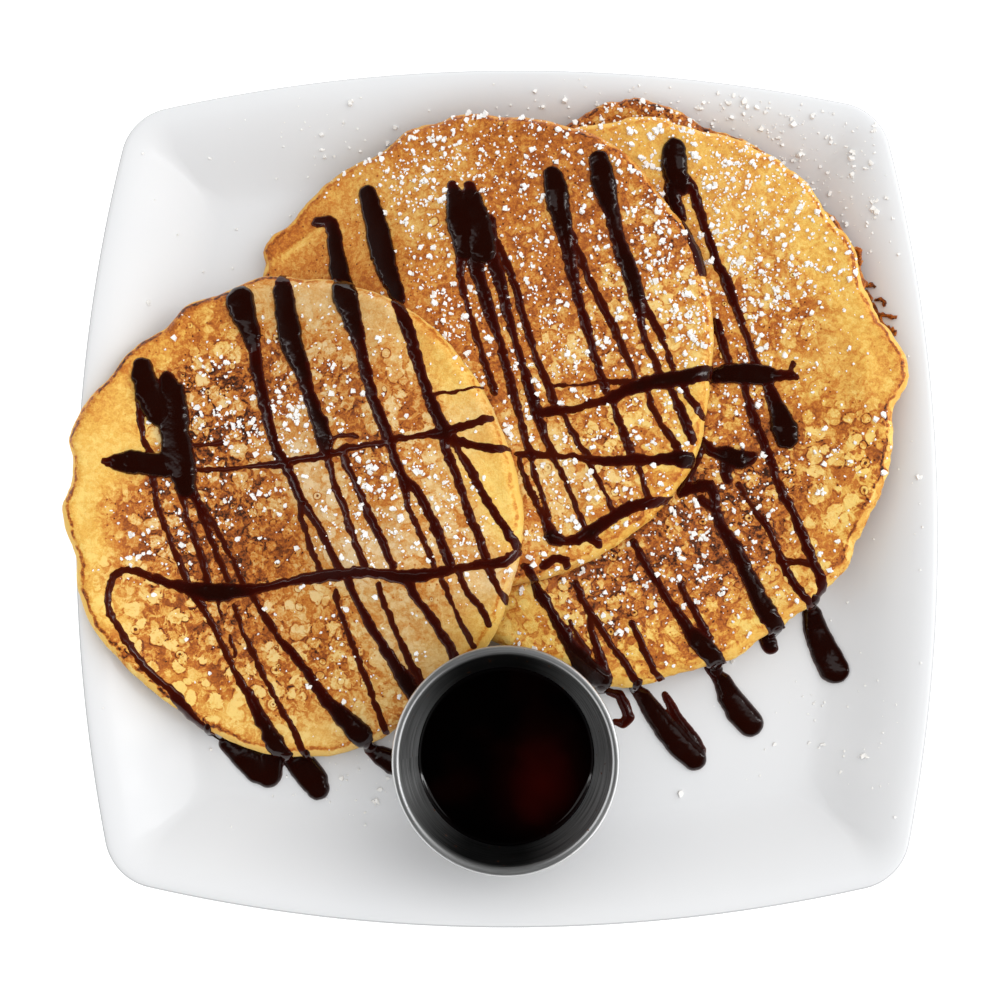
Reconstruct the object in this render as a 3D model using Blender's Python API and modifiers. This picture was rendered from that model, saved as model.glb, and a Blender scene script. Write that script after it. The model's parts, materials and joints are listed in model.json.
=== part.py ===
"""Four pancakes in an overlapping stack on a square porcelain plate, with a steel pot of syrup.

Frame: origin at the middle of the plate's underside, on the table. +Z is up, +X runs to the
right and +Y to the back, away from the pot of syrup. Every size is in metres.
"""

import math

import bmesh
import bpy
import numpy as np

# ---------------------------------------------------------------- plate
PLATE_HALF = 0.127          # middle of the plate to the middle of a side
SIDE_RADIUS = 0.480         # each side is a shallow arc that bows outwards
CORNER_RADIUS = 0.0169      # outer corner
RIM_HEIGHT = 0.020
FLOOR_HEIGHT = 0.006        # eating surface above the table
LIP_WIDTH = 0.002           # level lip before the wall starts to fall
WALL_RUN = 0.031            # distance from the rim to the foot of the sloping wall
WALL_THICKNESS = 0.0042
FOOT_OUTER_INSET = 0.0435   # the foot ring, measured inwards from the rim
FOOT_INNER_INSET = 0.0490
SIDE_STEPS = 8              # points along one side
CORNER_STEPS = 5            # points round one corner

# ---------------------------------------------------------------- pot and syrup
POT_CENTRE = (0.0003, -0.0779)
POT_BASE_RADIUS = 0.0200
POT_HEIGHT = 0.0322
POT_FOOT = FLOOR_HEIGHT + 0.0008
POT_WALL = 0.0008
POT_CORNER = 0.0035
POT_MOUTH_RADIUS = 0.0297   # outside of the wall under the bead
BEAD_RADIUS = 0.0011
SYRUP_DEPTH = 0.0180
POT_SEGMENTS = 40

# ---------------------------------------------------------------- pancakes
PANCAKE_THICKNESS = 0.0060
EDGE_ROUND = 0.0045         # width of the rounded shoulder at the edge
EDGE_LIFT = 0.35            # height of the edge line, as a share of the thickness
LAYER_GAP = 0.0006          # air kept between two pieces
SPOKES = 46
CELL = 0.002                # spacing of the height grid the pancakes are laid over
REACH = 2                   # cells by which a pancake keeps off what it lies on
SETTLING = 320              # rounds of smoothing as a pancake settles

# Edge of each pancake: points round it in millimetres, and the middle they turn about.
BOTTOM_MIDDLE = (42, 38)
BOTTOM_EDGE = [
    (22, 111), (34, 116), (44, 114.5), (62, 108), (81, 99.5), (94, 88), (104.5, 71), (106.5, 62),
    (107.5, 55), (110, 46), (111, 25), (104, 0), (90, -20), (70, -32), (45, -36), (15, -31),
    (-8, -14), (-24, 10), (-30, 40), (-23, 72), (-6, 95), (10, 106.5)]
RIGHT_MIDDLE = (45, 27)
RIGHT_EDGE = [
    (25, 107), (44.5, 108.5), (60, 104), (79.5, 97.5), (89, 90), (96, 80), (102.5, 70), (106, 56),
    (109, 48.5), (114.5, 42), (117.5, 34), (116, 27), (112.5, 21.5), (113, 16), (112, 4),
    (103, -16), (100.5, -23), (93.5, -31), (76.5, -44), (58, -53), (35.5, -59), (26, -57),
    (6, -50), (-8, -42), (-22, -20), (-30, 15), (-27, 56), (-13, 84), (5, 100.5)]
MIDDLE_MIDDLE = (-5, 41)
MIDDLE_EDGE = [
    (-73, 69), (-74, 73), (-71, 78), (-67, 80.5), (-61, 87), (-53, 94.5), (-36.5, 102), (-30, 107),
    (-10, 111.5), (10, 107.5), (29.5, 100), (39.5, 92.5), (47.5, 82), (58.5, 63), (61, 44.5),
    (58.5, 17.5), (51.5, 0.5), (33, -17.5), (5, -29), (-20, -28), (-46, -16), (-64, 4), (-73, 27),
    (-76.5, 48)]
FRONT_MIDDLE = (-62, -8)
FRONT_EDGE = [
    (-70.5, 63.5), (-50, 61), (-29.5, 52), (-12.5, 36.5), (-3, 21), (4, 1.5), (5.5, -15), (1, -33),
    (-13.5, -54.5), (-27.5, -67.5), (-38, -74.5), (-62, -79.5), (-82.5, -74.5), (-101.5, -61.5),
    (-120, -41), (-125.5, -20), (-129.5, -7), (-127, 5), (-128, 14), (-123.5, 25), (-110.5, 41.5),
    (-101, 48.5), (-95, 55.5), (-86, 58), (-78, 61.5)]


def material(name, colour, roughness, metallic=0.0):
    """A plain surface colour for one sub-part."""
    made = bpy.data.materials.new(name)
    made.use_nodes = True
    surface = made.node_tree.nodes["Principled BSDF"]
    surface.inputs["Base Color"].default_value = (*colour, 1.0)
    surface.inputs["Roughness"].default_value = roughness
    surface.inputs["Metallic"].default_value = metallic
    return made


def add_object(name, mesh, collection, surface):
    """Put a mesh in the object's collection, shaded smooth with its material."""
    mesh.materials.append(surface)
    mesh.shade_smooth()
    mesh.set_sharp_from_angle(angle=math.radians(40))
    made = bpy.data.objects.new(name, mesh)
    collection.objects.link(made)
    return made


def mesh_from_rings(name, rings, first_pole, last_pole):
    """Join closed rings of points one to the next, and close both ends on a pole."""
    shape = bmesh.new()
    start = shape.verts.new(first_pole)
    loops = [[shape.verts.new(point) for point in ring] for ring in rings]
    end = shape.verts.new(last_pole)
    count = len(loops[0])
    for k in range(count):
        after = (k + 1) % count
        shape.faces.new((start, loops[0][k], loops[0][after]))
        for low, high in zip(loops, loops[1:]):
            shape.faces.new((low[k], high[k], high[after], low[after]))
        shape.faces.new((loops[-1][k], end, loops[-1][after]))
    bmesh.ops.triangulate(shape, faces=shape.faces[:])
    bmesh.ops.recalc_face_normals(shape, faces=shape.faces[:])
    mesh = bpy.data.meshes.new(name)
    shape.to_mesh(mesh)
    shape.free()
    return mesh


# ---------------------------------------------------------------- plate shape
def wall_height(inset):
    """Height of the plate's upper surface at a distance inwards from its rim."""
    share = np.clip((inset - LIP_WIDTH) / (WALL_RUN - LIP_WIDTH), 0.0, 1.0)
    fall = share * share * (3.0 - 2.0 * share)
    return RIM_HEIGHT - (RIM_HEIGHT - FLOOR_HEIGHT) * fall


def rim_inset(x, y):
    """Distance inwards from the nearest of the plate's four bowed sides."""
    offset = SIDE_RADIUS - PLATE_HALF
    sides = [np.hypot(x + offset, y), np.hypot(x - offset, y),
             np.hypot(x, y + offset), np.hypot(x, y - offset)]
    return SIDE_RADIUS - np.maximum.reduce(sides)


def plate_outline(inset, corner):
    """Points round the plate at one inset: four bowed sides joined by round corners."""
    offset = SIDE_RADIUS - PLATE_HALF
    reach = SIDE_RADIUS - inset
    inner = reach - corner
    middle = (-2.0 * offset + math.sqrt(8.0 * inner ** 2 - 4.0 * offset ** 2)) / 4.0
    turn = math.atan2(middle, middle + offset)
    points = []
    for k in range(SIDE_STEPS):
        angle = -turn + 2.0 * turn * k / SIDE_STEPS
        points.append((-offset + reach * math.cos(angle), reach * math.sin(angle)))
    for k in range(CORNER_STEPS):
        angle = turn + (math.pi / 2.0 - 2.0 * turn) * k / CORNER_STEPS
        points.append((middle + corner * math.cos(angle), middle + corner * math.sin(angle)))
    outline = list(points)
    for _ in range(3):
        points = [(-y, x) for x, y in points]
        outline += points
    return outline


def corner_at(inset):
    """Corner radius at an inset: it tightens into a crease on the wall and opens on the floor."""
    return float(np.interp(inset, [0.0, 0.006, 0.014, 0.022, WALL_RUN, 0.05],
                           [CORNER_RADIUS, 0.0115, 0.0040, 0.0025, 0.0090, 0.0120]))


def make_plate(collection):
    """The plate as a loft of outlines: foot ring, underside, lip, sloping wall and floor."""
    bottom = FLOOR_HEIGHT - WALL_THICKNESS
    section = [(FOOT_INNER_INSET + 0.0010, bottom), (FOOT_INNER_INSET, 0.0),
               (FOOT_OUTER_INSET, 0.0), (FOOT_OUTER_INSET - 0.0010, bottom)]
    for inset in (WALL_RUN, 0.021, 0.013, 0.006):
        section.append((inset, float(wall_height(inset)) - WALL_THICKNESS))
    section += [(0.0014, RIM_HEIGHT - 0.0034), (0.0, RIM_HEIGHT - 0.0016),
                (0.0005, RIM_HEIGHT - 0.0004), (0.0020, RIM_HEIGHT)]
    for inset in (0.0055, 0.0095, 0.0145, 0.0200, 0.0255, WALL_RUN):
        section.append((inset, float(wall_height(inset))))
    section.append((0.060, FLOOR_HEIGHT))
    rings = []
    for inset, height in section:
        rings.append([(x, y, height) for x, y in plate_outline(inset, corner_at(inset))])
    mesh = mesh_from_rings("plate", rings, (0.0, 0.0, bottom), (0.0, 0.0, FLOOR_HEIGHT))
    return add_object("plate", mesh, collection, material("porcelain", (0.84, 0.85, 0.86), 0.12))


# ---------------------------------------------------------------- height grid
GRID_X, GRID_Y = np.meshgrid(np.arange(-0.140, 0.1401, CELL), np.arange(-0.130, 0.1301, CELL))


def read_grid(field, x, y):
    """Height of the grid at any place, blended between its four nearest points."""
    column = (x - GRID_X[0, 0]) / CELL
    row = (y - GRID_Y[0, 0]) / CELL
    i = np.clip(np.floor(column).astype(int), 0, field.shape[1] - 2)
    j = np.clip(np.floor(row).astype(int), 0, field.shape[0] - 2)
    u = column - i
    v = row - j
    near = field[j, i] * (1 - u) + field[j, i + 1] * u
    far = field[j + 1, i] * (1 - u) + field[j + 1, i + 1] * u
    return near * (1 - v) + far * v


def neighbours(field):
    """The nine shifted copies of a grid: each point and the eight round it."""
    rows, columns = field.shape
    padded = np.pad(field, 1, mode="edge")
    return [padded[a:a + rows, b:b + columns] for a in range(3) for b in range(3)]


def soften(field, weight):
    """Average each point with those round it that carry weight."""
    share = np.array([1, 2, 1, 2, 4, 2, 1, 2, 1]).reshape(9, 1, 1)
    total = (share * np.array(neighbours(field * weight))).sum(axis=0)
    return total / np.maximum((share * np.array(neighbours(weight))).sum(axis=0), 1e-9)


def edge_distance(edge, middle, x, y):
    """Distance from the edge, inwards along the line to the middle, of each place."""
    ring = (np.array(edge) - np.array(middle)) * 0.001
    angle = np.arctan2(ring[:, 1], ring[:, 0])
    order = np.argsort(angle)
    angle = angle[order]
    radius = np.hypot(ring[:, 0], ring[:, 1])[order]
    angle = np.concatenate([angle - 2 * math.pi, angle, angle + 2 * math.pi])
    radius = np.tile(radius, 3)
    turn = np.arctan2(y - middle[1] * 0.001, x - middle[0] * 0.001)
    k = np.searchsorted(angle, turn) - 1
    step = angle[k + 1] - angle[k]
    t = (turn - angle[k]) / step
    slope_in = (radius[k + 1] - radius[k - 1]) / (angle[k + 1] - angle[k - 1]) * step
    slope_out = (radius[k + 2] - radius[k]) / (angle[k + 2] - angle[k]) * step
    blended = ((2 * t ** 3 - 3 * t ** 2 + 1) * radius[k] + (t ** 3 - 2 * t ** 2 + t) * slope_in
               + (3 * t ** 2 - 2 * t ** 3) * radius[k + 1] + (t ** 3 - t ** 2) * slope_out)
    return blended - np.hypot(x - middle[0] * 0.001, y - middle[1] * 0.001)


def settle(support, inside):
    """Lay a soft sheet over what supports it: it sags into hollows and bridges steps."""
    held = support
    for _ in range(REACH):
        held = np.maximum.reduce(neighbours(held))
    held = held + LAYER_GAP
    weight = inside.astype(float)
    sheet = held * weight
    for _ in range(SETTLING):
        sheet = np.maximum(soften(sheet, weight), held) * weight
    for _ in range(5):
        spread = soften(sheet, weight)
        reached = soften(weight, np.ones_like(weight)) > 0
        sheet = np.where(weight > 0, sheet, spread)
        weight = np.where(reached, 1.0, weight)
    return sheet


def shoulder(inset):
    """Share of the full thickness at a distance from a pancake's edge."""
    share = np.clip(inset / EDGE_ROUND, 0.0, 1.0)
    return EDGE_LIFT + (1.0 - EDGE_LIFT) * np.sqrt(1.0 - (1.0 - share) ** 2)


def make_pancake(name, edge, middle, support, collection, surface):
    """Lay one pancake on the support and return its solid and the new support."""
    inset = edge_distance(edge, middle, GRID_X, GRID_Y)
    sheet = settle(support, inset > -CELL / 2)
    centre = np.array(middle) * 0.001
    turns = np.linspace(-math.pi, math.pi, SPOKES, endpoint=False) + 0.01
    direction = np.stack([np.cos(turns), np.sin(turns)], axis=1)
    reach = edge_distance(edge, middle, centre[0] + direction[:, 0] * 1e-6,
                          centre[1] + direction[:, 1] * 1e-6)

    def ring(distance, share):
        place = centre + direction * distance[:, None]
        height = read_grid(sheet, place[:, 0], place[:, 1]) + PANCAKE_THICKNESS * share
        return np.column_stack([place, height]).tolist()

    inner = [0.17, 0.34, 0.51, 0.67, 0.82]
    rings = [ring(reach * part, 0.0) for part in inner]
    rings.append(ring(reach - 0.0016, 0.03))
    for step in (0.0, 0.0008, 0.0026):
        rings.append(ring(reach - step, float(shoulder(step))))
    rings += [ring(reach * part, 1.0) for part in [0.93] + inner[::-1]]
    low = float(read_grid(sheet, centre[0], centre[1]))
    poles = [(centre[0], centre[1], low), (centre[0], centre[1], low + PANCAKE_THICKNESS)]
    mesh = mesh_from_rings(name, rings, *poles)
    top = np.where(inset > 0, sheet + PANCAKE_THICKNESS * shoulder(inset), -1.0)
    return add_object(name, mesh, collection, surface), np.maximum(support, top)


# ---------------------------------------------------------------- pot and syrup
def turned(name, profile, collection, surface):
    """Turn a profile about the upright axis with a Screw modifier, then stand it in place."""
    shape = bmesh.new()
    points = [shape.verts.new((radius, 0.0, height)) for radius, height in profile]
    for k in range(len(points) - 1):
        shape.edges.new((points[k], points[k + 1]))
    mesh = bpy.data.meshes.new(name)
    shape.to_mesh(mesh)
    shape.free()
    made = add_object(name, mesh, collection, surface)
    made.location = (POT_CENTRE[0], POT_CENTRE[1], POT_FOOT)
    screw = made.modifiers.new("turn", "SCREW")
    screw.steps = POT_SEGMENTS
    screw.render_steps = POT_SEGMENTS
    screw.use_merge_vertices = True
    screw.merge_threshold = 0.00001
    screw.use_smooth_shade = True
    return made


def pot_wall_radius(height):
    """Outer radius of the pot's tapering wall at a height above its foot."""
    top = POT_HEIGHT - 2 * BEAD_RADIUS
    share = (height - POT_CORNER) / (top - POT_CORNER)
    start = POT_BASE_RADIUS + 0.0009
    return start + (POT_MOUTH_RADIUS - start) * share


def make_pot(collection):
    """A spun steel pot: flat base, rounded corner, tapering wall and a rolled bead."""
    bead_x = POT_MOUTH_RADIUS + BEAD_RADIUS * 0.65
    bead_z = POT_HEIGHT - BEAD_RADIUS
    top = POT_HEIGHT - 2 * BEAD_RADIUS
    profile = [
        (0.0, POT_WALL),
        (POT_BASE_RADIUS - POT_CORNER * 0.55, POT_WALL),
        (POT_BASE_RADIUS - POT_WALL, POT_CORNER * 0.45),
        (pot_wall_radius(POT_CORNER) - POT_WALL, POT_CORNER),
        (pot_wall_radius(top) - POT_WALL, top)]
    for degrees in (150, 90, 30, -30, -90):
        turn = math.radians(degrees)
        profile.append((bead_x + BEAD_RADIUS * math.cos(turn),
                        bead_z + BEAD_RADIUS * math.sin(turn)))
    profile += [
        (pot_wall_radius(POT_CORNER), POT_CORNER),
        (POT_BASE_RADIUS, POT_CORNER * 0.30),
        (POT_BASE_RADIUS - POT_CORNER * 0.45, 0.0),
        (0.0, 0.0)]
    return turned("syrup_pot", profile, collection, material("steel", (0.60, 0.60, 0.61), 0.28, 1.0))


def make_syrup(collection):
    """Syrup up to its level, a hair inside the pot's wall."""
    gap = POT_WALL + 0.0004
    profile = [
        (0.0, SYRUP_DEPTH),
        (pot_wall_radius(SYRUP_DEPTH) - gap, SYRUP_DEPTH),
        (pot_wall_radius(POT_CORNER) - gap, POT_CORNER + 0.0002),
        (POT_BASE_RADIUS - gap, POT_CORNER * 0.55),
        (POT_BASE_RADIUS - POT_CORNER * 0.75, POT_WALL + 0.0004),
        (0.0, POT_WALL + 0.0004)]
    return turned("syrup", profile, collection, material("syrup", (0.020, 0.004, 0.003), 0.08))


def main():
    for old in list(bpy.data.objects):
        bpy.data.objects.remove(old, do_unlink=True)
    collection = bpy.data.collections.new("pancake_stack")
    bpy.context.scene.collection.children.link(collection)
    make_plate(collection)
    inset = rim_inset(GRID_X, GRID_Y)
    support = np.where(inset > 0.0, wall_height(inset), -0.005)
    batter = material("batter", (0.78, 0.47, 0.17), 0.55)
    layers = [("pancake_bottom", BOTTOM_EDGE, BOTTOM_MIDDLE),
              ("pancake_right", RIGHT_EDGE, RIGHT_MIDDLE),
              ("pancake_middle", MIDDLE_EDGE, MIDDLE_MIDDLE),
              ("pancake_front", FRONT_EDGE, FRONT_MIDDLE)]
    for name, edge, middle in layers:
        _, support = make_pancake(name, edge, middle, support, collection, batter)
    make_pot(collection)
    make_syrup(collection)


main()
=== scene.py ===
# %% [markdown]
# # Pancake stack: frame and helpers
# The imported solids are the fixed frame: a square plate, four pancakes and a pot of syrup.
# Each gets a finer piece in its place, built on the same sizes, so the looks stay on the solids.
# The helpers here are the ones that later cells lean on. They make a mesh and keep it.

# %% load the frame and make the helpers
import json
import math

import bmesh
import bpy
import numpy as np
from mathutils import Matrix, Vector

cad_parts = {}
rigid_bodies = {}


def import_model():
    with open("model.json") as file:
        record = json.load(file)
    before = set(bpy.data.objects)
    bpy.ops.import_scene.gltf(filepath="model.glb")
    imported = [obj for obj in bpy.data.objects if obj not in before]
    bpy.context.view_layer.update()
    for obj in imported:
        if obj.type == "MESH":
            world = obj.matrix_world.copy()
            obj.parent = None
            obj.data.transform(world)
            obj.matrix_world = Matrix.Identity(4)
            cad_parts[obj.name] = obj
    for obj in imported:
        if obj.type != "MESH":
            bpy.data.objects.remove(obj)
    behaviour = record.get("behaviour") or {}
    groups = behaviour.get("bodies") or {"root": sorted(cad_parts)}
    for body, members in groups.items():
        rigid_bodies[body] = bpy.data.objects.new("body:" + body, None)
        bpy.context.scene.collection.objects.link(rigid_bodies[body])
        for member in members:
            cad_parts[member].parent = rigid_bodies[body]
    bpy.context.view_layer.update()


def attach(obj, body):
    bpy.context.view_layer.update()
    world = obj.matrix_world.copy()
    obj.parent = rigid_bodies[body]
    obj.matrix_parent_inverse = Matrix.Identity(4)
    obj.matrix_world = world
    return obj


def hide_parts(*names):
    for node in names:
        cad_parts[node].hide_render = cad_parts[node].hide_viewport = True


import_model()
MM = 0.001
scene = bpy.context.scene


def keep(made, node=None):
    """Let a finished piece ride with the object, and hide the solid that it stands for."""
    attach(made, "root")
    if node:
        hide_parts(node)


def solid(name, points, faces, surface, values=None):
    """A smooth-shaded mesh from points and faces, with named values on its points."""
    mesh = bpy.data.meshes.new(name)
    mesh.from_pydata(np.asarray(points).tolist(), [], faces)
    mesh.validate()
    for key, numbers in (values or {}).items():
        layer = mesh.attributes.new(key, "FLOAT", "POINT")
        layer.data.foreach_set("value", np.asarray(numbers, np.float32))
    mesh.materials.append(surface)
    mesh.shade_smooth()
    made = bpy.data.objects.new(name, mesh)
    scene.collection.objects.link(made)
    return made


def joined(bodies):
    """Several bodies, each given as points and faces, as one."""
    points, faces = [], []
    start = 0
    for body_points, body_faces in bodies:
        faces += [tuple(start + k for k in face) for face in body_faces]
        points.append(body_points)
        start += len(body_points)
    return np.vstack(points), faces


def rings_mesh(rings, first_pole, last_pole):
    """Points and faces of closed rings joined one to the next, with a pole at each end."""
    count = len(rings[0])
    points = np.vstack([[first_pole], *rings, [last_pole]])
    faces = []
    for k in range(count):
        after = (k + 1) % count
        faces.append((0, 1 + after, 1 + k))
        faces.append((len(points) - 1, len(points) - 1 - count + k, len(points) - 1 - count + after))
    for r in range(len(rings) - 1):
        low = 1 + r * count
        high = low + count
        for k in range(count):
            after = (k + 1) % count
            faces.append((low + k, low + after, high + after, high + k))
    return points, faces


# %% [markdown]
# A material is a tree of small steps, in which a number or a colour flows from node to node.
# These helpers name the steps that come back again and again.

# %% helpers for materials
def part(tree, kind, **settings):
    """Add a node with its settings."""
    made = tree.nodes.new(kind)
    for key, value in settings.items():
        setattr(made, key, value)
    return made


def feed(tree, socket, value):
    """Give a socket a plain value, or join it to another node's output."""
    if hasattr(value, "links"):
        tree.links.new(value, socket)
    else:
        socket.default_value = value


def sums(tree, operation, first, second=0.0, third=0.0):
    """One step of arithmetic on sockets or numbers."""
    made = part(tree, "ShaderNodeMath", operation=operation)
    for socket, value in zip(made.inputs, (first, second, third)):
        feed(tree, socket, value)
    return made.outputs[0]


def times(tree, first, second):
    """Product of two sockets or numbers."""
    return sums(tree, "MULTIPLY", first, second)


def minus(tree, first, second):
    """Difference of two sockets or numbers."""
    return sums(tree, "SUBTRACT", first, second)


def scaled(tree, value, share, base=0.0):
    """A share of a value, on top of a base."""
    return sums(tree, "MULTIPLY_ADD", value, share, base)


def between(tree, value, low, high, start=0.0, end=1.0):
    """Carry a value smoothly from one range into another."""
    made = part(tree, "ShaderNodeMapRange", interpolation_type="SMOOTHSTEP")
    for key, number in (("Value", value), ("From Min", low), ("From Max", high),
                        ("To Min", start), ("To Max", end)):
        feed(tree, made.inputs[key], number)
    return made.outputs[0]


def grain(tree, place, size, detail=2.0, roughness=0.5, distortion=0.0):
    """Soft random values about half, with features of a size in metres."""
    made = part(tree, "ShaderNodeTexNoise")
    feed(tree, made.inputs["Vector"], place)
    made.inputs["Scale"].default_value = 1.0 / size
    made.inputs["Detail"].default_value = detail
    made.inputs["Roughness"].default_value = roughness
    made.inputs["Distortion"].default_value = distortion
    return made.outputs["Fac"]


def blend(tree, share, first, second):
    """Mix two colours."""
    made = part(tree, "ShaderNodeMix", data_type="RGBA")
    feed(tree, made.inputs[0], share)
    feed(tree, made.inputs[6], first)
    feed(tree, made.inputs[7], second)
    return made.outputs[2]


def ramp(tree, value, stops):
    """Colour along a line of stops, each a position and a linear colour."""
    made = part(tree, "ShaderNodeValToRGB")
    elements = made.color_ramp.elements
    while len(elements) < len(stops):
        elements.new(0.5)
    for element, (position, colour) in zip(elements, stops):
        element.position = position
        element.color = (*colour, 1.0)
    feed(tree, made.inputs[0], value)
    return made.outputs[0]


def surface(name):
    """A new material: its tree, its shader and the place on the object."""
    made = bpy.data.materials.new(name)
    made.use_nodes = True
    tree = made.node_tree
    place = part(tree, "ShaderNodeTexCoord").outputs["Object"]
    return made, tree, tree.nodes["Principled BSDF"], place


def dress(tree, shader, colour, rough, height, depth):
    """Give a shader its colour, its roughness and a fine relief, as deep as depth in metres."""
    raised = part(tree, "ShaderNodeBump")
    raised.inputs["Strength"].default_value = 1.0
    raised.inputs["Distance"].default_value = depth
    tree.links.new(colour, shader.inputs["Base Color"])
    tree.links.new(rough, shader.inputs["Roughness"])
    tree.links.new(height, raised.inputs["Height"])
    tree.links.new(raised.outputs[0], shader.inputs["Normal"])


def painted(tree, name):
    """A value that the mesh carries on its points."""
    return part(tree, "ShaderNodeAttribute", attribute_name=name).outputs["Fac"]


def axes_of(tree, place):
    """The three coordinates of a place."""
    made = part(tree, "ShaderNodeSeparateXYZ")
    tree.links.new(place, made.inputs[0])
    return made.outputs


def seen_from(tree, place, origin):
    """The place as it is measured from another origin."""
    made = part(tree, "ShaderNodeVectorMath", operation="SUBTRACT")
    tree.links.new(place, made.inputs[0])
    made.inputs[1].default_value = origin
    return made.outputs[0]



print("helpers for materials are ready")

# %% [markdown]
# ## Table, light and camera
# A plain white table under soft light. The room and one large diffuser light the colours; narrow
# strips and panels, which only glossy surfaces pick up, draw the thin bright lines along the
# sauce. The room is dim overhead in reflections, so that flat tops of sauce and syrup stay dark.
# The camera looks almost straight down on the plate, from 0.43 m above the table.

# %% table and light
table_paint, tree, shader, place = surface("table_paint")
tone = grain(tree, place, 0.3, 2.0)
colour = ramp(tree, tone, [(0.3, (0.94, 0.94, 0.945)), (0.7, (0.96, 0.96, 0.96))])
tree.links.new(colour, shader.inputs["Base Color"])
shader.inputs["Roughness"].default_value = 0.8
shader.inputs["Emission Color"].default_value = (1.0, 1.0, 1.0, 1.0)
shader.inputs["Emission Strength"].default_value = 0.35
TABLE_REACH = 30
table_corners = [(x * TABLE_REACH, y * TABLE_REACH, 0) for x, y in ((-1, -1), (1, -1), (1, 1), (-1, 1))]
table = solid("table", table_corners, [(0, 1, 2, 3)], table_paint)


def diffuser(name, place, size, power, gloss_only=False):
    """A flat soft light that faces the plate; it shows either in gloss or in colour."""
    light = bpy.data.lights.new(name, "AREA")
    light.shape = "RECTANGLE"
    light.size, light.size_y = size
    light.energy = power
    made = bpy.data.objects.new(name, light)
    scene.collection.objects.link(made)
    made.location = place
    made.rotation_mode = "QUATERNION"
    made.rotation_quaternion = (-Vector(place)).to_track_quat("-Z", "Y")
    made.visible_glossy = gloss_only
    made.visible_diffuse = not gloss_only


diffuser("light_right", (1.00, 0.25, 0.80), (0.7, 1.3), 3.6)
diffuser("strip_right", (0.95, 0.05, 0.75), (0.07, 1.2), 1.5, gloss_only=True)
diffuser("strip_left", (-0.95, 0.05, 0.70), (0.06, 0.8), 0.35, gloss_only=True)
diffuser("panel_right", (0.62, 0.05, 0.95), (0.16, 0.9), 0.27, gloss_only=True)
diffuser("panel_left", (-0.60, 0.05, 0.95), (0.14, 0.9), 0.26, gloss_only=True)

world = bpy.data.worlds.new("room")
scene.world = world
world.use_nodes = True
tree = world.node_tree
toward = part(tree, "ShaderNodeTexCoord").outputs["Generated"]
to_right, to_back, upward = axes_of(tree, toward)
light_level = between(tree, upward, 0.10, 0.90, 1.12, 1.05)
light_level = scaled(tree, to_back, 0.16, light_level)
light_level = scaled(tree, to_right, 0.44, light_level)
side = between(tree, to_right, -1.0, 1.0, 0.10, 0.22)
square = times(tree, to_right, to_right)
gloss_level = scaled(tree, side, between(tree, square, 0.15, 0.75), 0.02)
gloss_level = times(tree, gloss_level, between(tree, upward, 0.92, 0.60))
ray = part(tree, "ShaderNodeLightPath").outputs["Is Glossy Ray"]
level = part(tree, "ShaderNodeMix", data_type="FLOAT")
for k, value in zip((0, 2, 3), (ray, light_level, gloss_level)):
    tree.links.new(value, level.inputs[k])
tree.links.new(level.outputs[0], tree.nodes["Background"].inputs["Strength"])
tree.nodes["Background"].inputs["Color"].default_value = (1.0, 1.0, 1.0, 1.0)

# %% camera
CAMERA_PLACE = (0.00556, -0.04314, 0.42935)
CAMERA_TURN = (5.447, 0.983, -0.088)
CAMERA_LENS = 50.4
lens = bpy.data.cameras.new("camera")
lens.lens = CAMERA_LENS
lens.sensor_width = 36.0
lens.clip_start = 0.01
camera = bpy.data.objects.new("camera", lens)
scene.collection.objects.link(camera)
camera.location = CAMERA_PLACE
camera.rotation_euler = [math.radians(v) for v in CAMERA_TURN]
scene.camera = camera
scene.view_settings.view_transform = "Standard"
print("camera", camera.location[:], "lens", lens.lens)

# %% [markdown]
# ## Plate
# The real plate is glazed porcelain: four bowed sides, a narrow lip, a wall that falls to a flat
# floor, and a soft crease where two walls meet in a corner. It is a loft of outlines here, as the
# solid is, with many more steps, so that the glaze shows no flats.

# %% plate
PLATE_HALF = 0.127
SIDE_RADIUS = 0.480
CORNER_RADIUS = 0.0169
RIM_HEIGHT = 0.020
FLOOR_HEIGHT = 0.006
LIP_WIDTH = 0.002
WALL_RUN = 0.031
WALL_THICKNESS = 0.0042
SIDE_STEPS = 40
CORNER_STEPS = 22


def wall_height(inset):
    """Height of the plate's upper surface at a distance inwards from its rim."""
    share = np.clip((inset - LIP_WIDTH) / (WALL_RUN - LIP_WIDTH), 0.0, 1.0)
    fall = share * share * (3.0 - 2.0 * share)
    return RIM_HEIGHT - (RIM_HEIGHT - FLOOR_HEIGHT) * fall


def rim_inset(x, y):
    """Distance inwards from the nearest of the plate's four bowed sides."""
    offset = SIDE_RADIUS - PLATE_HALF
    sides = [np.hypot(x + offset, y), np.hypot(x - offset, y),
             np.hypot(x, y + offset), np.hypot(x, y - offset)]
    return SIDE_RADIUS - np.maximum.reduce(sides)


def corner_at(inset):
    """Corner radius at an inset: tight on the wall, open on the floor."""
    return float(np.interp(inset, [0.0, 0.006, 0.014, 0.022, WALL_RUN, 0.05],
                           [CORNER_RADIUS, 0.0115, 0.0040, 0.0025, 0.0090, 0.0120]))


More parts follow.
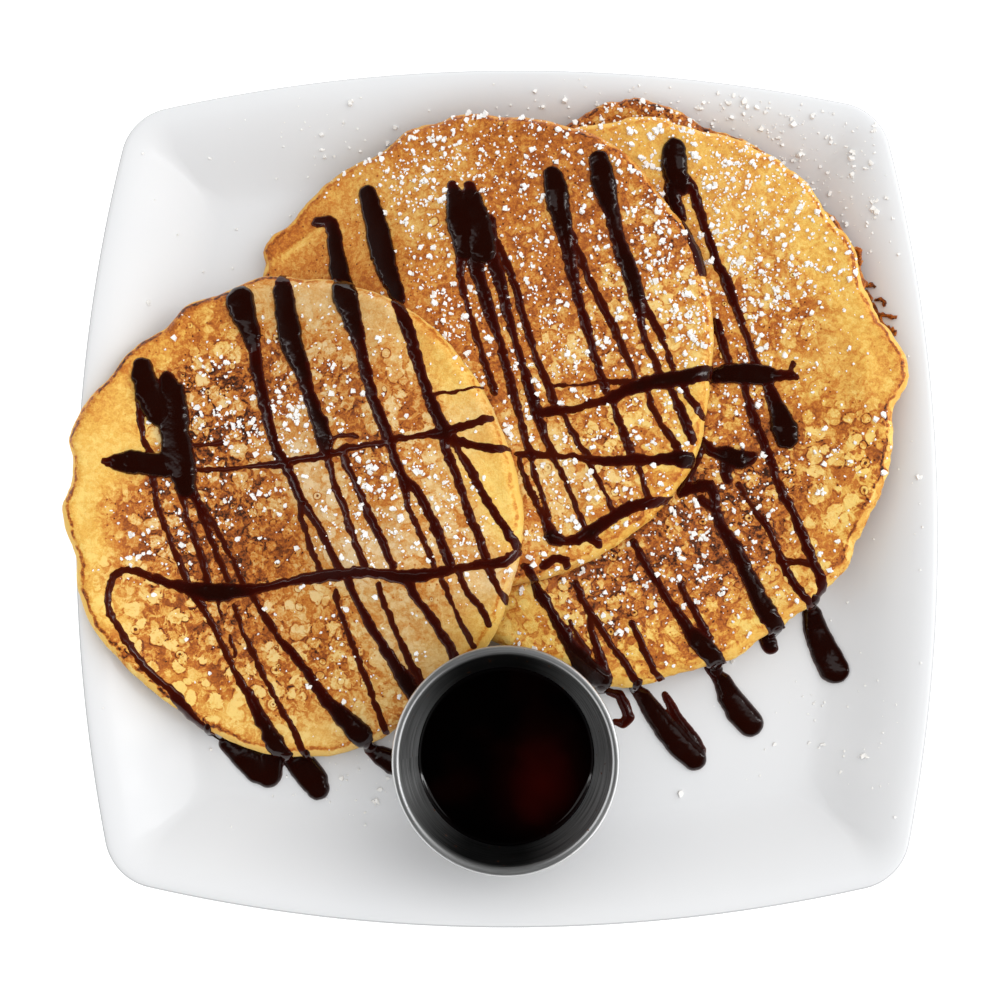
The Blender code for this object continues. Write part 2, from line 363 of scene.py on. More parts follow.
def plate_outline(inset, corner):
    """Points round the plate at one inset: four bowed sides joined by round corners."""
    offset = SIDE_RADIUS - PLATE_HALF
    reach = SIDE_RADIUS - inset
    inner = reach - corner
    middle = (-2.0 * offset + math.sqrt(8.0 * inner ** 2 - 4.0 * offset ** 2)) / 4.0
    turn = math.atan2(middle, middle + offset)
    side = -turn + 2.0 * turn * np.arange(SIDE_STEPS) / SIDE_STEPS
    bend = turn + (math.pi / 2.0 - 2.0 * turn) * np.arange(CORNER_STEPS) / CORNER_STEPS
    x = np.concatenate([-offset + reach * np.cos(side), middle + corner * np.cos(bend)])
    y = np.concatenate([reach * np.sin(side), middle + corner * np.sin(bend)])
    quarter = np.column_stack([x, y])
    turns = [quarter]
    for _ in range(3):
        quarter = np.column_stack([-quarter[:, 1], quarter[:, 0]])
        turns.append(quarter)
    return np.vstack(turns)


def plate_section():
    """Inset and height of each ring, from the foot round the lip to the floor."""
    under = FLOOR_HEIGHT - WALL_THICKNESS
    rows = [(0.0502, under), (0.0498, 0.0006), (0.0490, 0.0), (0.0435, 0.0), (0.0427, 0.0006),
            (0.0423, under)]
    for inset in np.linspace(WALL_RUN, 0.004, 12):
        rows.append((inset, float(wall_height(inset)) - WALL_THICKNESS))
    lip = [(0.0014, 0.0034), (0.0006, 0.0027), (0.0001, 0.0020), (0.0, 0.0014), (0.0002, 0.0008),
           (0.0006, 0.0003), (0.0013, 0.00005), (0.0020, 0.0)]
    rows += [(inset, RIM_HEIGHT - drop) for inset, drop in lip]
    for inset in np.linspace(0.0032, WALL_RUN, 26):
        rows.append((inset, float(wall_height(inset))))
    rows += [(0.040, FLOOR_HEIGHT), (0.060, FLOOR_HEIGHT), (0.090, FLOOR_HEIGHT)]
    return rows


print("plate section", len(plate_section()), "rings")

# %% [markdown]
# Glaze is smooth but never quite even: its white drifts a little, and a thin grey line of painted
# shade runs on the sharp of the lip. Each point of the mesh carries its distance from the rim for this.

# %% glaze and the plate itself
def glaze():
    """White glaze with faint cool and warm drifts, and a painted grey shade line on the sharp of the lip.
    """
    made, tree, shader, place = surface("porcelain_glaze")
    drift = grain(tree, place, 0.060, 2.0)
    colour = ramp(tree, drift, [(0.3, (0.745, 0.755, 0.770)), (0.7, (0.775, 0.780, 0.788))])
    # painted shade: a thin grey line on the outermost lip, where the glaze turns down away from the light
    painted_rim_shade = times(tree, between(tree, painted(tree, "inset"), 0.80, 0.35), 0.80)
    colour = blend(tree, painted_rim_shade, colour, (0.30, 0.31, 0.32, 1.0))
    rough = between(tree, grain(tree, place, 0.012, 3.0), 0.3, 0.7, 0.18, 0.26)
    shader.inputs["Specular IOR Level"].default_value = 0.35
    dress(tree, shader, colour, rough, grain(tree, place, 0.008, 2.0), 0.00006)
    return made


porcelain = glaze()
FAR_INSIDE = 90.0
rings = []
insets = [FAR_INSIDE]
for inset, height in plate_section():
    outline = plate_outline(inset, corner_at(inset))
    rings.append(np.column_stack([outline, np.full(len(outline), height)]))
    insets += [inset / MM] * len(outline)
insets.append(FAR_INSIDE)
points, faces = rings_mesh(rings, (0.0, 0.0, FLOOR_HEIGHT - WALL_THICKNESS), (0.0, 0.0, FLOOR_HEIGHT))
plate = solid("plate_glazed", points, faces, porcelain, {"inset": insets})
keep(plate, "plate")
print("plate", len(faces), "faces")

# %% [markdown]
# ## Pancakes: how they lie
# A soft pancake sags into hollows and bridges the step over the edge of the one below it.
# So each is laid on a height grid of what is under it, and relaxes there for many rounds.
# The edges are points read round each pancake, in millimetres, about a middle point.

# %% height grid
CELL = 0.002
REACH = 2
SETTLING = 320
LAYER_GAP = 0.0006
PANCAKE_THICKNESS = 0.0060
EDGE_ROUND = 0.0045
EDGE_LIFT = 0.35
FINE = 4
CLOSE_CELL = CELL / FINE
SPILL_ROUNDS = 7
LATTICE = 128
LATTICE_START = 4096.5
GRID_X, GRID_Y = np.meshgrid(np.arange(-0.140, 0.1401, CELL), np.arange(-0.130, 0.1301, CELL))
FINE_X = GRID_X[0, 0] + np.arange((GRID_X.shape[1] - 1) * FINE + 1) * CELL / FINE
FINE_Y = GRID_Y[0, 0] + np.arange((GRID_X.shape[0] - 1) * FINE + 1) * CELL / FINE


def read_grid(field, x, y, cell=CELL):
    """Height of a grid at any place, blended between its four nearest points."""
    column = (x - GRID_X[0, 0]) / cell
    row = (y - GRID_Y[0, 0]) / cell
    i = np.clip(np.floor(column).astype(int), 0, field.shape[1] - 2)
    j = np.clip(np.floor(row).astype(int), 0, field.shape[0] - 2)
    u = column - i
    v = row - j
    near = field[j, i] * (1 - u) + field[j, i + 1] * u
    far = field[j + 1, i] * (1 - u) + field[j + 1, i + 1] * u
    return near * (1 - v) + far * v


def neighbours(field):
    """The nine shifted copies of a grid: each point and the eight round it."""
    rows, columns = field.shape
    padded = np.pad(field, 1, mode="edge")
    return [padded[a:a + rows, b:b + columns] for a in range(3) for b in range(3)]


def soften(field, weight):
    """Average each point with those round it that carry weight."""
    share = (1, 2, 1, 2, 4, 2, 1, 2, 1)
    total = sum(s * n for s, n in zip(share, neighbours(field * weight)))
    return total / np.maximum(sum(s * n for s, n in zip(share, neighbours(weight))), 1e-9)


def settle(support, inside):
    """Lay a soft sheet over what supports it: it sags into hollows and bridges steps."""
    held = support
    for _ in range(REACH):
        held = np.maximum.reduce(neighbours(held))
    held = held + LAYER_GAP
    weight = inside.astype(float)
    sheet = held * weight
    for _ in range(SETTLING):
        sheet = np.maximum(soften(sheet, weight), held) * weight
    for _ in range(SPILL_ROUNDS):
        spread = soften(sheet, weight)
        reached = soften(weight, np.ones_like(weight)) > 0
        sheet = np.where(weight > 0, sheet, spread)
        weight = np.where(reached, 1.0, weight)
    return sheet


def rounded(field, rounds):
    """A grid evened out all over, a number of times."""
    for _ in range(rounds):
        field = soften(field, np.ones_like(field))
    return field


def finer(field):
    """The same heights on a grid four times as close, rounded so that no cell edge shows."""
    return rounded(read_grid(field, *np.meshgrid(FINE_X, FINE_Y)), 2 * FINE)


def hills(x, y, size, seed):
    """Smooth hills and hollows from -1 to 1, each about as wide as size."""
    lattice = np.random.default_rng(seed).uniform(-1.0, 1.0, (LATTICE, LATTICE))
    u = x / size + LATTICE_START
    v = y / size + LATTICE_START
    i = np.floor(u).astype(int)
    j = np.floor(v).astype(int)
    u = u - i
    v = v - j
    u = u * u * (3 - 2 * u)
    v = v * v * (3 - 2 * v)
    left, right = i % LATTICE, (i + 1) % LATTICE
    low, high = j % LATTICE, (j + 1) % LATTICE
    near = lattice[low, left] * (1 - u) + lattice[low, right] * u
    far = lattice[high, left] * (1 - u) + lattice[high, right] * u
    return near * (1 - v) + far * v


print("height grid", GRID_X.shape, "and its finer copy", (len(FINE_Y), len(FINE_X)))

# %% [markdown]
# ## Pancakes: edges
# Each list runs round one pancake. "frill" is how much the edge wanders in millimetres: little on
# a pancake that set cleanly, and more on the crisp one at the bottom.

# %% pancake edges
BOTTOM_EDGE = [
    (22, 111), (28, 114), (34, 116), (44, 114.5), (53, 112), (62.5, 108), (70.5, 106), (81, 99.5),
    (93.5, 88.5), (104.5, 71), (106.5, 62), (107.5, 55), (110, 46), (111, 25), (104, 0),
    (90, -20), (70, -32), (45, -36), (15, -31), (-8, -14), (-24, 10), (-30, 40), (-23, 72),
    (-6, 95), (10, 106.5)]
RIGHT_EDGE = [
    (25, 107), (34.5, 108), (44.5, 108.5), (51.5, 107), (59.5, 104), (69.5, 102.5), (79.5, 97.5),
    (89, 90), (96, 80), (102.5, 70), (106, 56), (109, 48.5), (114.5, 42), (117.5, 34), (116, 27),
    (112.5, 21.5), (113, 16), (112, 4), (107.5, -8), (103, -16), (100.5, -23), (93.5, -31),
    (85, -38.5), (76.5, -44), (69, -49.5), (58, -53), (46, -56.5), (35.5, -59), (28.5, -59),
    (18.5, -54), (6, -50), (-8, -42), (-22, -20), (-30, 15), (-27, 56), (-13, 84), (5, 100.5)]
MIDDLE_EDGE = [
    (-73, 69), (-74, 73), (-71, 78), (-67, 80.5), (-61, 87), (-53, 94.5), (-45, 99), (-36.5, 102),
    (-30, 107), (-20, 109.5), (-10, 111.5), (0, 109), (10, 107.5), (19.5, 104), (29.5, 100),
    (39.5, 92.5), (47.5, 82), (55, 72.5), (58.5, 63), (60.5, 52), (61, 44.5), (60, 29.5),
    (58.5, 17.5), (54.5, 5), (51.5, 0.5), (43, -9.5), (33, -17.5), (20, -24.5), (5, -29),
    (-20, -28), (-46, -16), (-64, 4), (-73, 27), (-76.5, 48)]
FRONT_EDGE = [
    (-78, 61.5), (-70.5, 63.5), (-60, 62), (-50, 61), (-39.5, 57), (-29.5, 52), (-19.5, 44.5),
    (-12.5, 36.5), (-7, 28.5), (-3, 21), (1, 11), (4, 1.5), (5.5, -10.5), (4.5, -20.5), (1, -33),
    (-3, -44), (-13, -54), (-27.5, -67.5), (-37, -74), (-51.5, -79), (-62, -79.5), (-72.5, -78),
    (-82.5, -74.5), (-92.5, -68.5), (-101.5, -61.5), (-110.5, -52.5), (-120, -41), (-124, -31),
    (-125.5, -20), (-129.5, -7), (-127, 2), (-127, 9), (-128, 14), (-123.5, 25), (-117, 32),
    (-110.5, 41.5), (-101, 48.5), (-95, 55.5), (-86, 58)]

LAYERS = {
    "bottom": dict(edge=BOTTOM_EDGE, middle=(42, 38), frill=1.3, seed=3),
    "right": dict(edge=RIGHT_EDGE, middle=(45, 27), frill=0.85, seed=5),
    "middle": dict(edge=MIDDLE_EDGE, middle=(-5, 41), frill=0.40, seed=7),
    "front": dict(edge=FRONT_EDGE, middle=(-62, -8), frill=0.35, seed=9)}


def edge_reach(layer, turn):
    """Distance from a pancake's middle to its edge in each direction, in metres."""
    ring = (np.array(layer["edge"]) - np.array(layer["middle"])) * MM
    angle = np.arctan2(ring[:, 1], ring[:, 0])
    order = np.argsort(angle)
    angle = angle[order]
    radius = np.hypot(ring[:, 0], ring[:, 1])[order]
    angle = np.concatenate([angle - 2 * math.pi, angle, angle + 2 * math.pi])
    radius = np.tile(radius, 3)
    k = np.searchsorted(angle, turn) - 1
    step = angle[k + 1] - angle[k]
    t = (turn - angle[k]) / step
    slope_in = (radius[k + 1] - radius[k - 1]) / (angle[k + 1] - angle[k - 1]) * step
    slope_out = (radius[k + 2] - radius[k]) / (angle[k + 2] - angle[k]) * step
    reach = ((2 * t ** 3 - 3 * t ** 2 + 1) * radius[k] + (t ** 3 - 2 * t ** 2 + t) * slope_in
             + (3 * t ** 2 - 2 * t ** 3) * radius[k + 1] + (t ** 3 - t ** 2) * slope_out)
    x = np.cos(turn)
    y = np.sin(turn)
    frill = hills(x, y, 0.060, layer["seed"]) + 0.6 * hills(x, y, 0.022, layer["seed"] + 1)
    return reach + frill * layer["frill"] * MM * 0.7


def inset_of(layer, x, y):
    """Distance inwards from a pancake's edge, in metres, along the line to its middle."""
    x = x - layer["middle"][0] * MM
    y = y - layer["middle"][1] * MM
    return edge_reach(layer, np.arctan2(y, x)) - np.hypot(x, y)


def shoulder(inset):
    """Share of the full thickness at a distance from a pancake's edge."""
    share = np.clip(inset / EDGE_ROUND, 0.0, 1.0)
    return EDGE_LIFT + (1.0 - EDGE_LIFT) * np.sqrt(1.0 - (1.0 - share) ** 2)


FOLD_START = (-0.075, 0.0655)
FOLD_END = (-0.054, 0.080)


def fold_at(x, y):
    """How far a place is over the fold in the middle pancake's left lobe, and on its ridge."""
    run = np.array(FOLD_END) - FOLD_START
    run /= np.hypot(*run)
    across = run[0] * (y - FOLD_START[1]) - run[1] * (x - FOLD_START[0])
    along = run[0] * (x - FOLD_START[0]) + run[1] * (y - FOLD_START[1])
    there = np.clip((0.030 - along) / 0.010, 0.0, 1.0) * np.clip((0.020 - across) / 0.006, 0.0, 1.0)
    return there * np.clip(across / 0.0016, 0.0, 1.0), there * np.exp(-(across / 0.0011) ** 2)


def relief(layer, x, y, inset):
    """Height of a pancake's own unevenness: swells, pock marks and a lip along the edge."""
    seed = layer["seed"] * 10
    swell = 0.32 * hills(x, y, 0.011, seed) + 0.16 * hills(x, y, 0.0045, seed + 1)
    rough = 0.07 * hills(x, y, 0.0018, seed + 2)
    lip = 0.25 * np.exp(-((inset / MM - 3.0) / 1.6) ** 2) - 0.2 * np.exp(-((inset / MM - 8.0) / 3.0) ** 2)
    if layer is LAYERS["middle"]:
        over, ridge = fold_at(x, y)
        swell = swell - 1.1 * over + 0.5 * ridge
    return (swell + rough + lip) * MM * np.clip(inset / 0.003, 0.0, 1.0)


def top_of(layer, x, y):
    """Height of a pancake's upper surface, or far below where it doesn't reach."""
    inset = inset_of(layer, x, y)
    height = read_grid(layer["sheet"], x, y, CLOSE_CELL) + PANCAKE_THICKNESS * shoulder(inset)
    return np.where(inset > 0, height + relief(layer, x, y, inset), -1.0)


support = np.where(rim_inset(GRID_X, GRID_Y) > 0.0, wall_height(rim_inset(GRID_X, GRID_Y)), -0.005)
for name, layer in LAYERS.items():
    inset = inset_of(layer, GRID_X, GRID_Y)
    sheet = settle(support, inset > -CELL / 2)
    layer["sheet"] = finer(sheet)
    top = np.where(inset > 0, sheet + PANCAKE_THICKNESS * shoulder(inset), -1.0)
    support = np.maximum(support, top)
    print(name, "lies from", round(float(sheet[inset > 0].min()) * 1000, 1), "to",
          round(float(top.max()) * 1000, 1), "mm")


def stack_top(x, y):
    """Height of whatever lies uppermost at a place, plate or pancake."""
    inset = rim_inset(x, y)
    height = np.where(inset > 0.0, wall_height(inset), 0.0)
    for layer in LAYERS.values():
        height = np.maximum(height, top_of(layer, x, y))
    return height


# %% [markdown]
# ## Pancakes: browning
# Batter browns where it lies against the pan and stays pale over its bubbles. Each row is a place
# on a pancake in millimetres, then how brown, how lacy and how golden it is there, and how much
# sugar lies on it. Between the places these values run softly into one another.

# %% browning and sugar places
FRONT_LOOK = [
    (-118, 22, .18, .0, 1.0, .0), (-105, 42, .27, .0, 1.0, .0), (-95, 50, .36, .1, .9, .0),
    (-85, 46, .38, .4, .7, .15), (-85, 32, .52, .9, .3, .4), (-72, 52, .20, .1, .2, .1),
    (-68, 40, .55, .5, .2, .4), (-70, 25, .55, .6, .2, .7), (-85, 16, .60, .8, .2, .6),
    (-95, 27, .45, .9, .3, .3), (-118, 5, .08, .0, 1.0, .0), (-121, -12, .05, .0, 1.0, .0),
    (-110, -8, .48, .4, .6, .05), (-102, -12, .55, .8, .2, .35), (-107, -30, .30, .8, .6, .1),
    (-85, -5, .56, .7, .2, .6), (-72, -5, .50, .6, .2, .25), (-75, -20, .58, .4, .2, .08),
    (-65, -17, .58, .3, .2, .05), (-62, 12, .20, .2, .0, 1.0), (-57, 21, .30, .4, .0, 1.0),
    (-56, 55, .14, .0, .1, .15),
    (-56, 44, .25, .2, .1, .2), (-52, 38, .40, .7, .1, .25), (-48, 27, .50, .7, .1, .25),
    (-45, 16, .38, .4, .2, .15), (-38, 50, .14, .0, .2, .12), (-36, 40, .20, .1, .2, .1),
    (-35, 32, .35, .6, .2, .3), (-36, 22, .50, .6, .2, .05), (-28, 22, .40, .6, .2, .05),
    (-22, 42, .18, .0, .8, .02), (-15, 32, .12, .0, .9, .06), (-10, 14, .12, .0, .5, .03),
    (-40, 5, .54, .6, .2, .5), (-55, 0, .14, .3, .0, .1), (-52, -14, .18, .4, .0, .45),
    (-40, -5, .28, .3, .1, .7), (-35, -17, .18, .3, .0, .7), (-28, 4, .30, .5, .2, .9),
    (-20, -5, .22, .3, .2, 1.0), (-12, -15, .32, .4, .1, 1.0), (-4, 5, .10, .0, .9, .0),
    (0, -10, .06, .0, 1.0, .0), (-116, -38, .07, .0, 1.0, .0), (-105, -42, .40, .9, .7, .0),
    (-95, -45, .34, 1.0, .7, .02), (-96, -60, .16, .5, .9, .0), (-85, -54, .36, 1.0, .7, .05),
    (-80, -69, .12, .3, .8, .02), (-78, -43, .55, .6, .2, .08), (-70, -40, .55, .5, .2, .06),
    (-62, -36, .20, .7, .3, .04), (-70, -54, .34, .9, .6, .06), (-62, -62, .36, .8, .6, .05),
    (-58, -73, .10, .0, .7, .0), (-50, -46, .50, .6, .5, .2), (-47, -57, .38, .7, .5, .4),
    (-45, -66, .18, .2, .5, .1), (-36, -42, .20, .3, .2, .02), (-35, -62, .28, .4, .4, .05),
    (-27, -42, .20, .2, .1, .1), (-19, -31, .34, .3, .2, .04), (-15, -43, .16, .0, .6, .02),
    (-8, -28, .10, .1, .1, .4), (-4, -42, .10, .0, 1.0, .0), (-25, -50, .16, .1, .3, .05)]
MIDDLE_LOOK = [
    (-66, 79, .30, .0, .6, .0), (-58, 89, .29, .0, .5, .0), (-45, 96, .25, .0, .4, .3),
    (-56, 72, .37, .0, .3, .0), (-45, 78, .29, .1, .3, .2), (-44, 66, .37, .0, .3, .02),
    (-30, 105, .37, .0, .4, .5), (-29, 92, .29, .1, .3, 1.0), (-26, 80, .25, .1, .3, .3),
    (-28, 62, .37, .1, .3, .05), (-21, 86, .29, .2, .2, .9), (-22, 66, .41, .2, .2, .8),
    (-15, 100, .39, .1, .3, .7), (0, 105, .45, .1, .3, .6), (5, 92, .47, .2, .3, .7),
    (5, 77, .43, .2, .3, .6), (12, 65, .47, .2, .2, .5), (20, 100, .47, .1, .4, .5),
    (22, 85, .47, .2, .3, .6), (38, 88, .45, .2, .4, .4), (42, 76, .39, .5, .2, 1.0),
    (45, 66, .51, .4, .3, 1.0), (51, 70, .51, .3, .4, .7), (50, 58, .28, .5, .4, .8),
    (56, 45, .20, .3, .5, 1.0), (48, 46, .30, .4, .3, .9), (35, 50, .34, .5, .3, .7),
    (32, 42, .44, .5, .2, .8), (15, 55, .50, .3, .2, .6), (15, 40, .32, .6, .2, .6),
    (20, 35, .36, .4, .2, .5), (0, 45, .46, .3, .2, .9), (-8, 42, .40, .3, .2, .7),
    (-15, 56, .48, .2, .2, 1.0), (-12, 48, .48, .2, .2, .9), (-5, 35, .46, .3, .2, .8),
    (25, 25, .46, .2, .3, .3), (28, 15, .34, .9, .4, .6), (15, 15, .30, .4, .2, .6),
    (20, 0, .24, .5, .1, .9), (15, -8, .24, .5, .1, .9), (35, 1, .42, .7, .2, .9),
    (48, 0, .24, .1, 1.0, .4), (48, 18, .26, .5, .3, .5), (39, 18, .32, .6, .5, .4),
    (57, 20, .10, .0, 1.0, .1), (10, -21, .38, .4, .3, .8), (20, -20, .22, .2, .4, .3),
    (28, -14, .22, .3, .7, .5), (7, -9, .34, .5, .2, .5)]
RIGHT_LOOK = [
    (60, 103, .18, .0, .6, .90), (45, 107, .18, .0, .6, .67), (76, 98, .18, .1, .6, .90),
    (62, 88, .24, .1, .5, 1.0), (86, 86, .18, .1, .6, .67), (70, 75, .24, .2, .5, 1.0),
    (80, 60, .28, .3, .4, .90), (95, 66, .16, .1, .7, .39), (75, 50, .34, .4, .4, .90),
    (85, 46, .46, .5, .4, .34), (95, 40, .16, .1, .5, .20), (105, 45, .14, .0, .8, .02),
    (110, 35, .22, .1, .9, .00), (101, 30, .24, .1, .5, .02), (93, 24, .38, .3, .6, .06),
    (87, 34, .26, .2, .5, .40), (98, 14, .36, .8, .4, .25), (105, 8, .34, .8, .7, .10),
    (92, 4, .38, .8, .4, .25), (100, -6, .22, .6, .6, .06), (95, -18, .20, .5, .6, .05),
    (88, -10, .34, .5, .4, .12), (65, 43, .42, .4, .5, .75), (65, 20, .48, .5, .5, .50),
    (72, 15, .54, .4, .4, .36), (75, 0, .56, .7, .3, .45), (68, -8, .60, .7, .2, .5),
    (60, -18, .60, .5, .3, .65), (50, -24, .60, .4, .3, .55), (50, -11, .56, .7, .3, .5),
    (65, -27, .60, .4, .3, .85), (80, -30, .20, .5, .5, .35), (78, -15, .60, .5, .3, .1),
    (65, -38, .34, .5, .6, .14), (72, -46, .20, .2, .9, .12), (50, -41, .46, .5, .6, .12),
    (43, -48, .38, .5, .6, .14), (45, -31, .52, .4, .3, .42), (36, -25, .56, .6, .3, .55),
    (30, -35, .52, .9, .3, .45), (35, -45, .40, .6, .6, .26), (20, -30, .46, .9, .3, .45),
    (12, -42, .22, .5, .6, .18), (8, -35, .30, .5, .6, .22), (4, -42, .22, .2, 1.0, .06),
    (55, -52, .36, .3, .8, .03), (36, -57, .16, .1, 1.0, .00), (90, -29, .30, .4, .5, .1)]
BOTTOM_LOOK = [
    (34, 115, .44, .4, .5, .5), (50, 113, .46, .5, .5, .6), (70, 105, .44, .4, .6, .4),
    (95, 88, .44, .2, .7, .1), (108, 65, .48, .2, .7, .1)]


def looks_at(rows, x, y):
    """The four look values at each place, blended from the nearest rows."""
    rows = np.array(rows)
    total = np.zeros((4, *np.shape(x)))
    weight = np.full(np.shape(x), 1e-12)
    for row in rows:
        near = np.exp(-((x / MM - row[0]) ** 2 + (y / MM - row[1]) ** 2) / 60.0)
        near = near + 1e-4 * np.exp(-((x / MM - row[0]) ** 2 + (y / MM - row[1]) ** 2) / 900.0)
        weight += near
        total += near * row[2:].reshape((4,) + (1,) * np.ndim(x))
    return total / weight


LAYERS["bottom"]["look"] = BOTTOM_LOOK
LAYERS["right"]["look"] = RIGHT_LOOK
LAYERS["middle"]["look"] = MIDDLE_LOOK
LAYERS["front"]["look"] = FRONT_LOOK
print("look places", {name: len(layer["look"]) for name, layer in LAYERS.items()})

# %% [markdown]
# ## Pancakes: the fried surface
# One recipe serves all four. Browning runs from pale cream to dark brown. Where the batter is
# lacy, cells of pale batter sit in a brown net, and here and there a bubble has left a dark
# ringed pore. A broken brown line runs just inside the edge, with paler batter outside it.

# %% fried surface
PALE_STOPS = [(0.00, (0.74, 0.53, 0.30)), (0.20, (0.65, 0.385, 0.145)), (0.42, (0.58, 0.215, 0.024)),
              (0.58, (0.46, 0.122, 0.008)), (0.78, (0.27, 0.060, 0.005)), (1.0, (0.050, 0.012, 0.003))]
GOLD_STOPS = [(0.00, (0.90, 0.62, 0.16)), (0.20, (0.80, 0.44, 0.070)), (0.42, (0.62, 0.215, 0.018)),
              (0.58, (0.48, 0.125, 0.008)), (0.78, (0.27, 0.060, 0.005)), (1.0, (0.050, 0.012, 0.003))]


def flat_cells(tree, place, size, nudge=0.0):
    """Cells seen from above: distance to the middle in metres, and three random numbers each."""
    if nudge:
        shake = part(tree, "ShaderNodeTexNoise")
        tree.links.new(place, shake.inputs["Vector"])
        shake.inputs["Scale"].default_value = 1.1 / size
        shake.inputs["Detail"].default_value = 2.0
        shift = part(tree, "ShaderNodeVectorMath", operation="MULTIPLY_ADD")
        tree.links.new(shake.outputs["Color"], shift.inputs[0])
        shift.inputs[1].default_value = (nudge, nudge, nudge)
        tree.links.new(place, shift.inputs[2])
        place = shift.outputs[0]
    cells = part(tree, "ShaderNodeTexVoronoi", feature="F1", voronoi_dimensions="2D")
    tree.links.new(place, cells.inputs["Vector"])
    cells.inputs["Scale"].default_value = 1.0 / size
    lot = part(tree, "ShaderNodeSeparateColor")
    tree.links.new(cells.outputs["Color"], lot.inputs[0])
    return times(tree, cells.outputs["Distance"], size / MM), lot.outputs


def mix_in(tree, tone, mask, amount):
    """Add a share of a mask to the browning tone."""
    return scaled(tree, mask, amount, tone)


def bubbles(tree, place, lace, size, share, smallest, largest):
    """Burst bubbles: the pale disc, its brown rim and the dark pore in the middle."""
    away, lot = flat_cells(tree, place, size, size * 0.25)
    chosen = between(tree, scaled(tree, lace, share, lot[0]), 0.98, 1.02)
    radius = scaled(tree, lot[1], largest - smallest, smallest)
    reach = sums(tree, "DIVIDE", away, radius)
    disc = times(tree, between(tree, reach, 1.0, 0.85), chosen)
    rim = times(tree, between(tree, reach, 0.90, 1.02), between(tree, reach, 1.35, 1.08))
    pore = times(tree, between(tree, reach, 0.42, 0.22), between(tree, lot[2], 0.35, 0.40))
    return disc, times(tree, rim, chosen), times(tree, pore, chosen)


print("browning stops", len(PALE_STOPS), "pale and", len(GOLD_STOPS), "golden")

# %% [markdown]
# The recipe adds one mark after another to a tone from 0 to 1, and turns it into a colour last.

# %% recipe for a fried face
def edge_marks(tree, place, inset, line, line_at, fade, patch):
    """The broken brown line just inside the edge, and the mask of the pale rim outside it."""
    axes = axes_of(tree, place)
    line = between(tree, axes[0], fade[0], fade[1], line, line * fade[2])
    line_at = between(tree, axes[1], 0.035, -0.025, line_at[0], line_at[1])
    wander = minus(tree, grain(tree, place, 0.0050, 3.0, 0.6), 0.5)
    edge = minus(tree, scaled(tree, wander, 3.2, inset), line_at)
    ring = times(tree, between(tree, edge, -0.8, -0.3), between(tree, edge, 0.9, 0.2))
    gaps = between(tree, grain(tree, place, 0.0038, 2.0), 0.34, 0.52)
    flecks = between(tree, patch, 0.30, 0.55, 0.45, 1.0)
    ring = times(tree, times(tree, ring, gaps), flecks)
    halo = times(tree, between(tree, edge, -1.0, 0.0), between(tree, edge, 3.4, 0.4))
    ring = scaled(tree, times(tree, halo, flecks), 0.30, ring)
    outer = times(tree, between(tree, edge, -0.1, -0.9), between(tree, wander, 0.14, -0.06))
    return times(tree, ring, line), outer


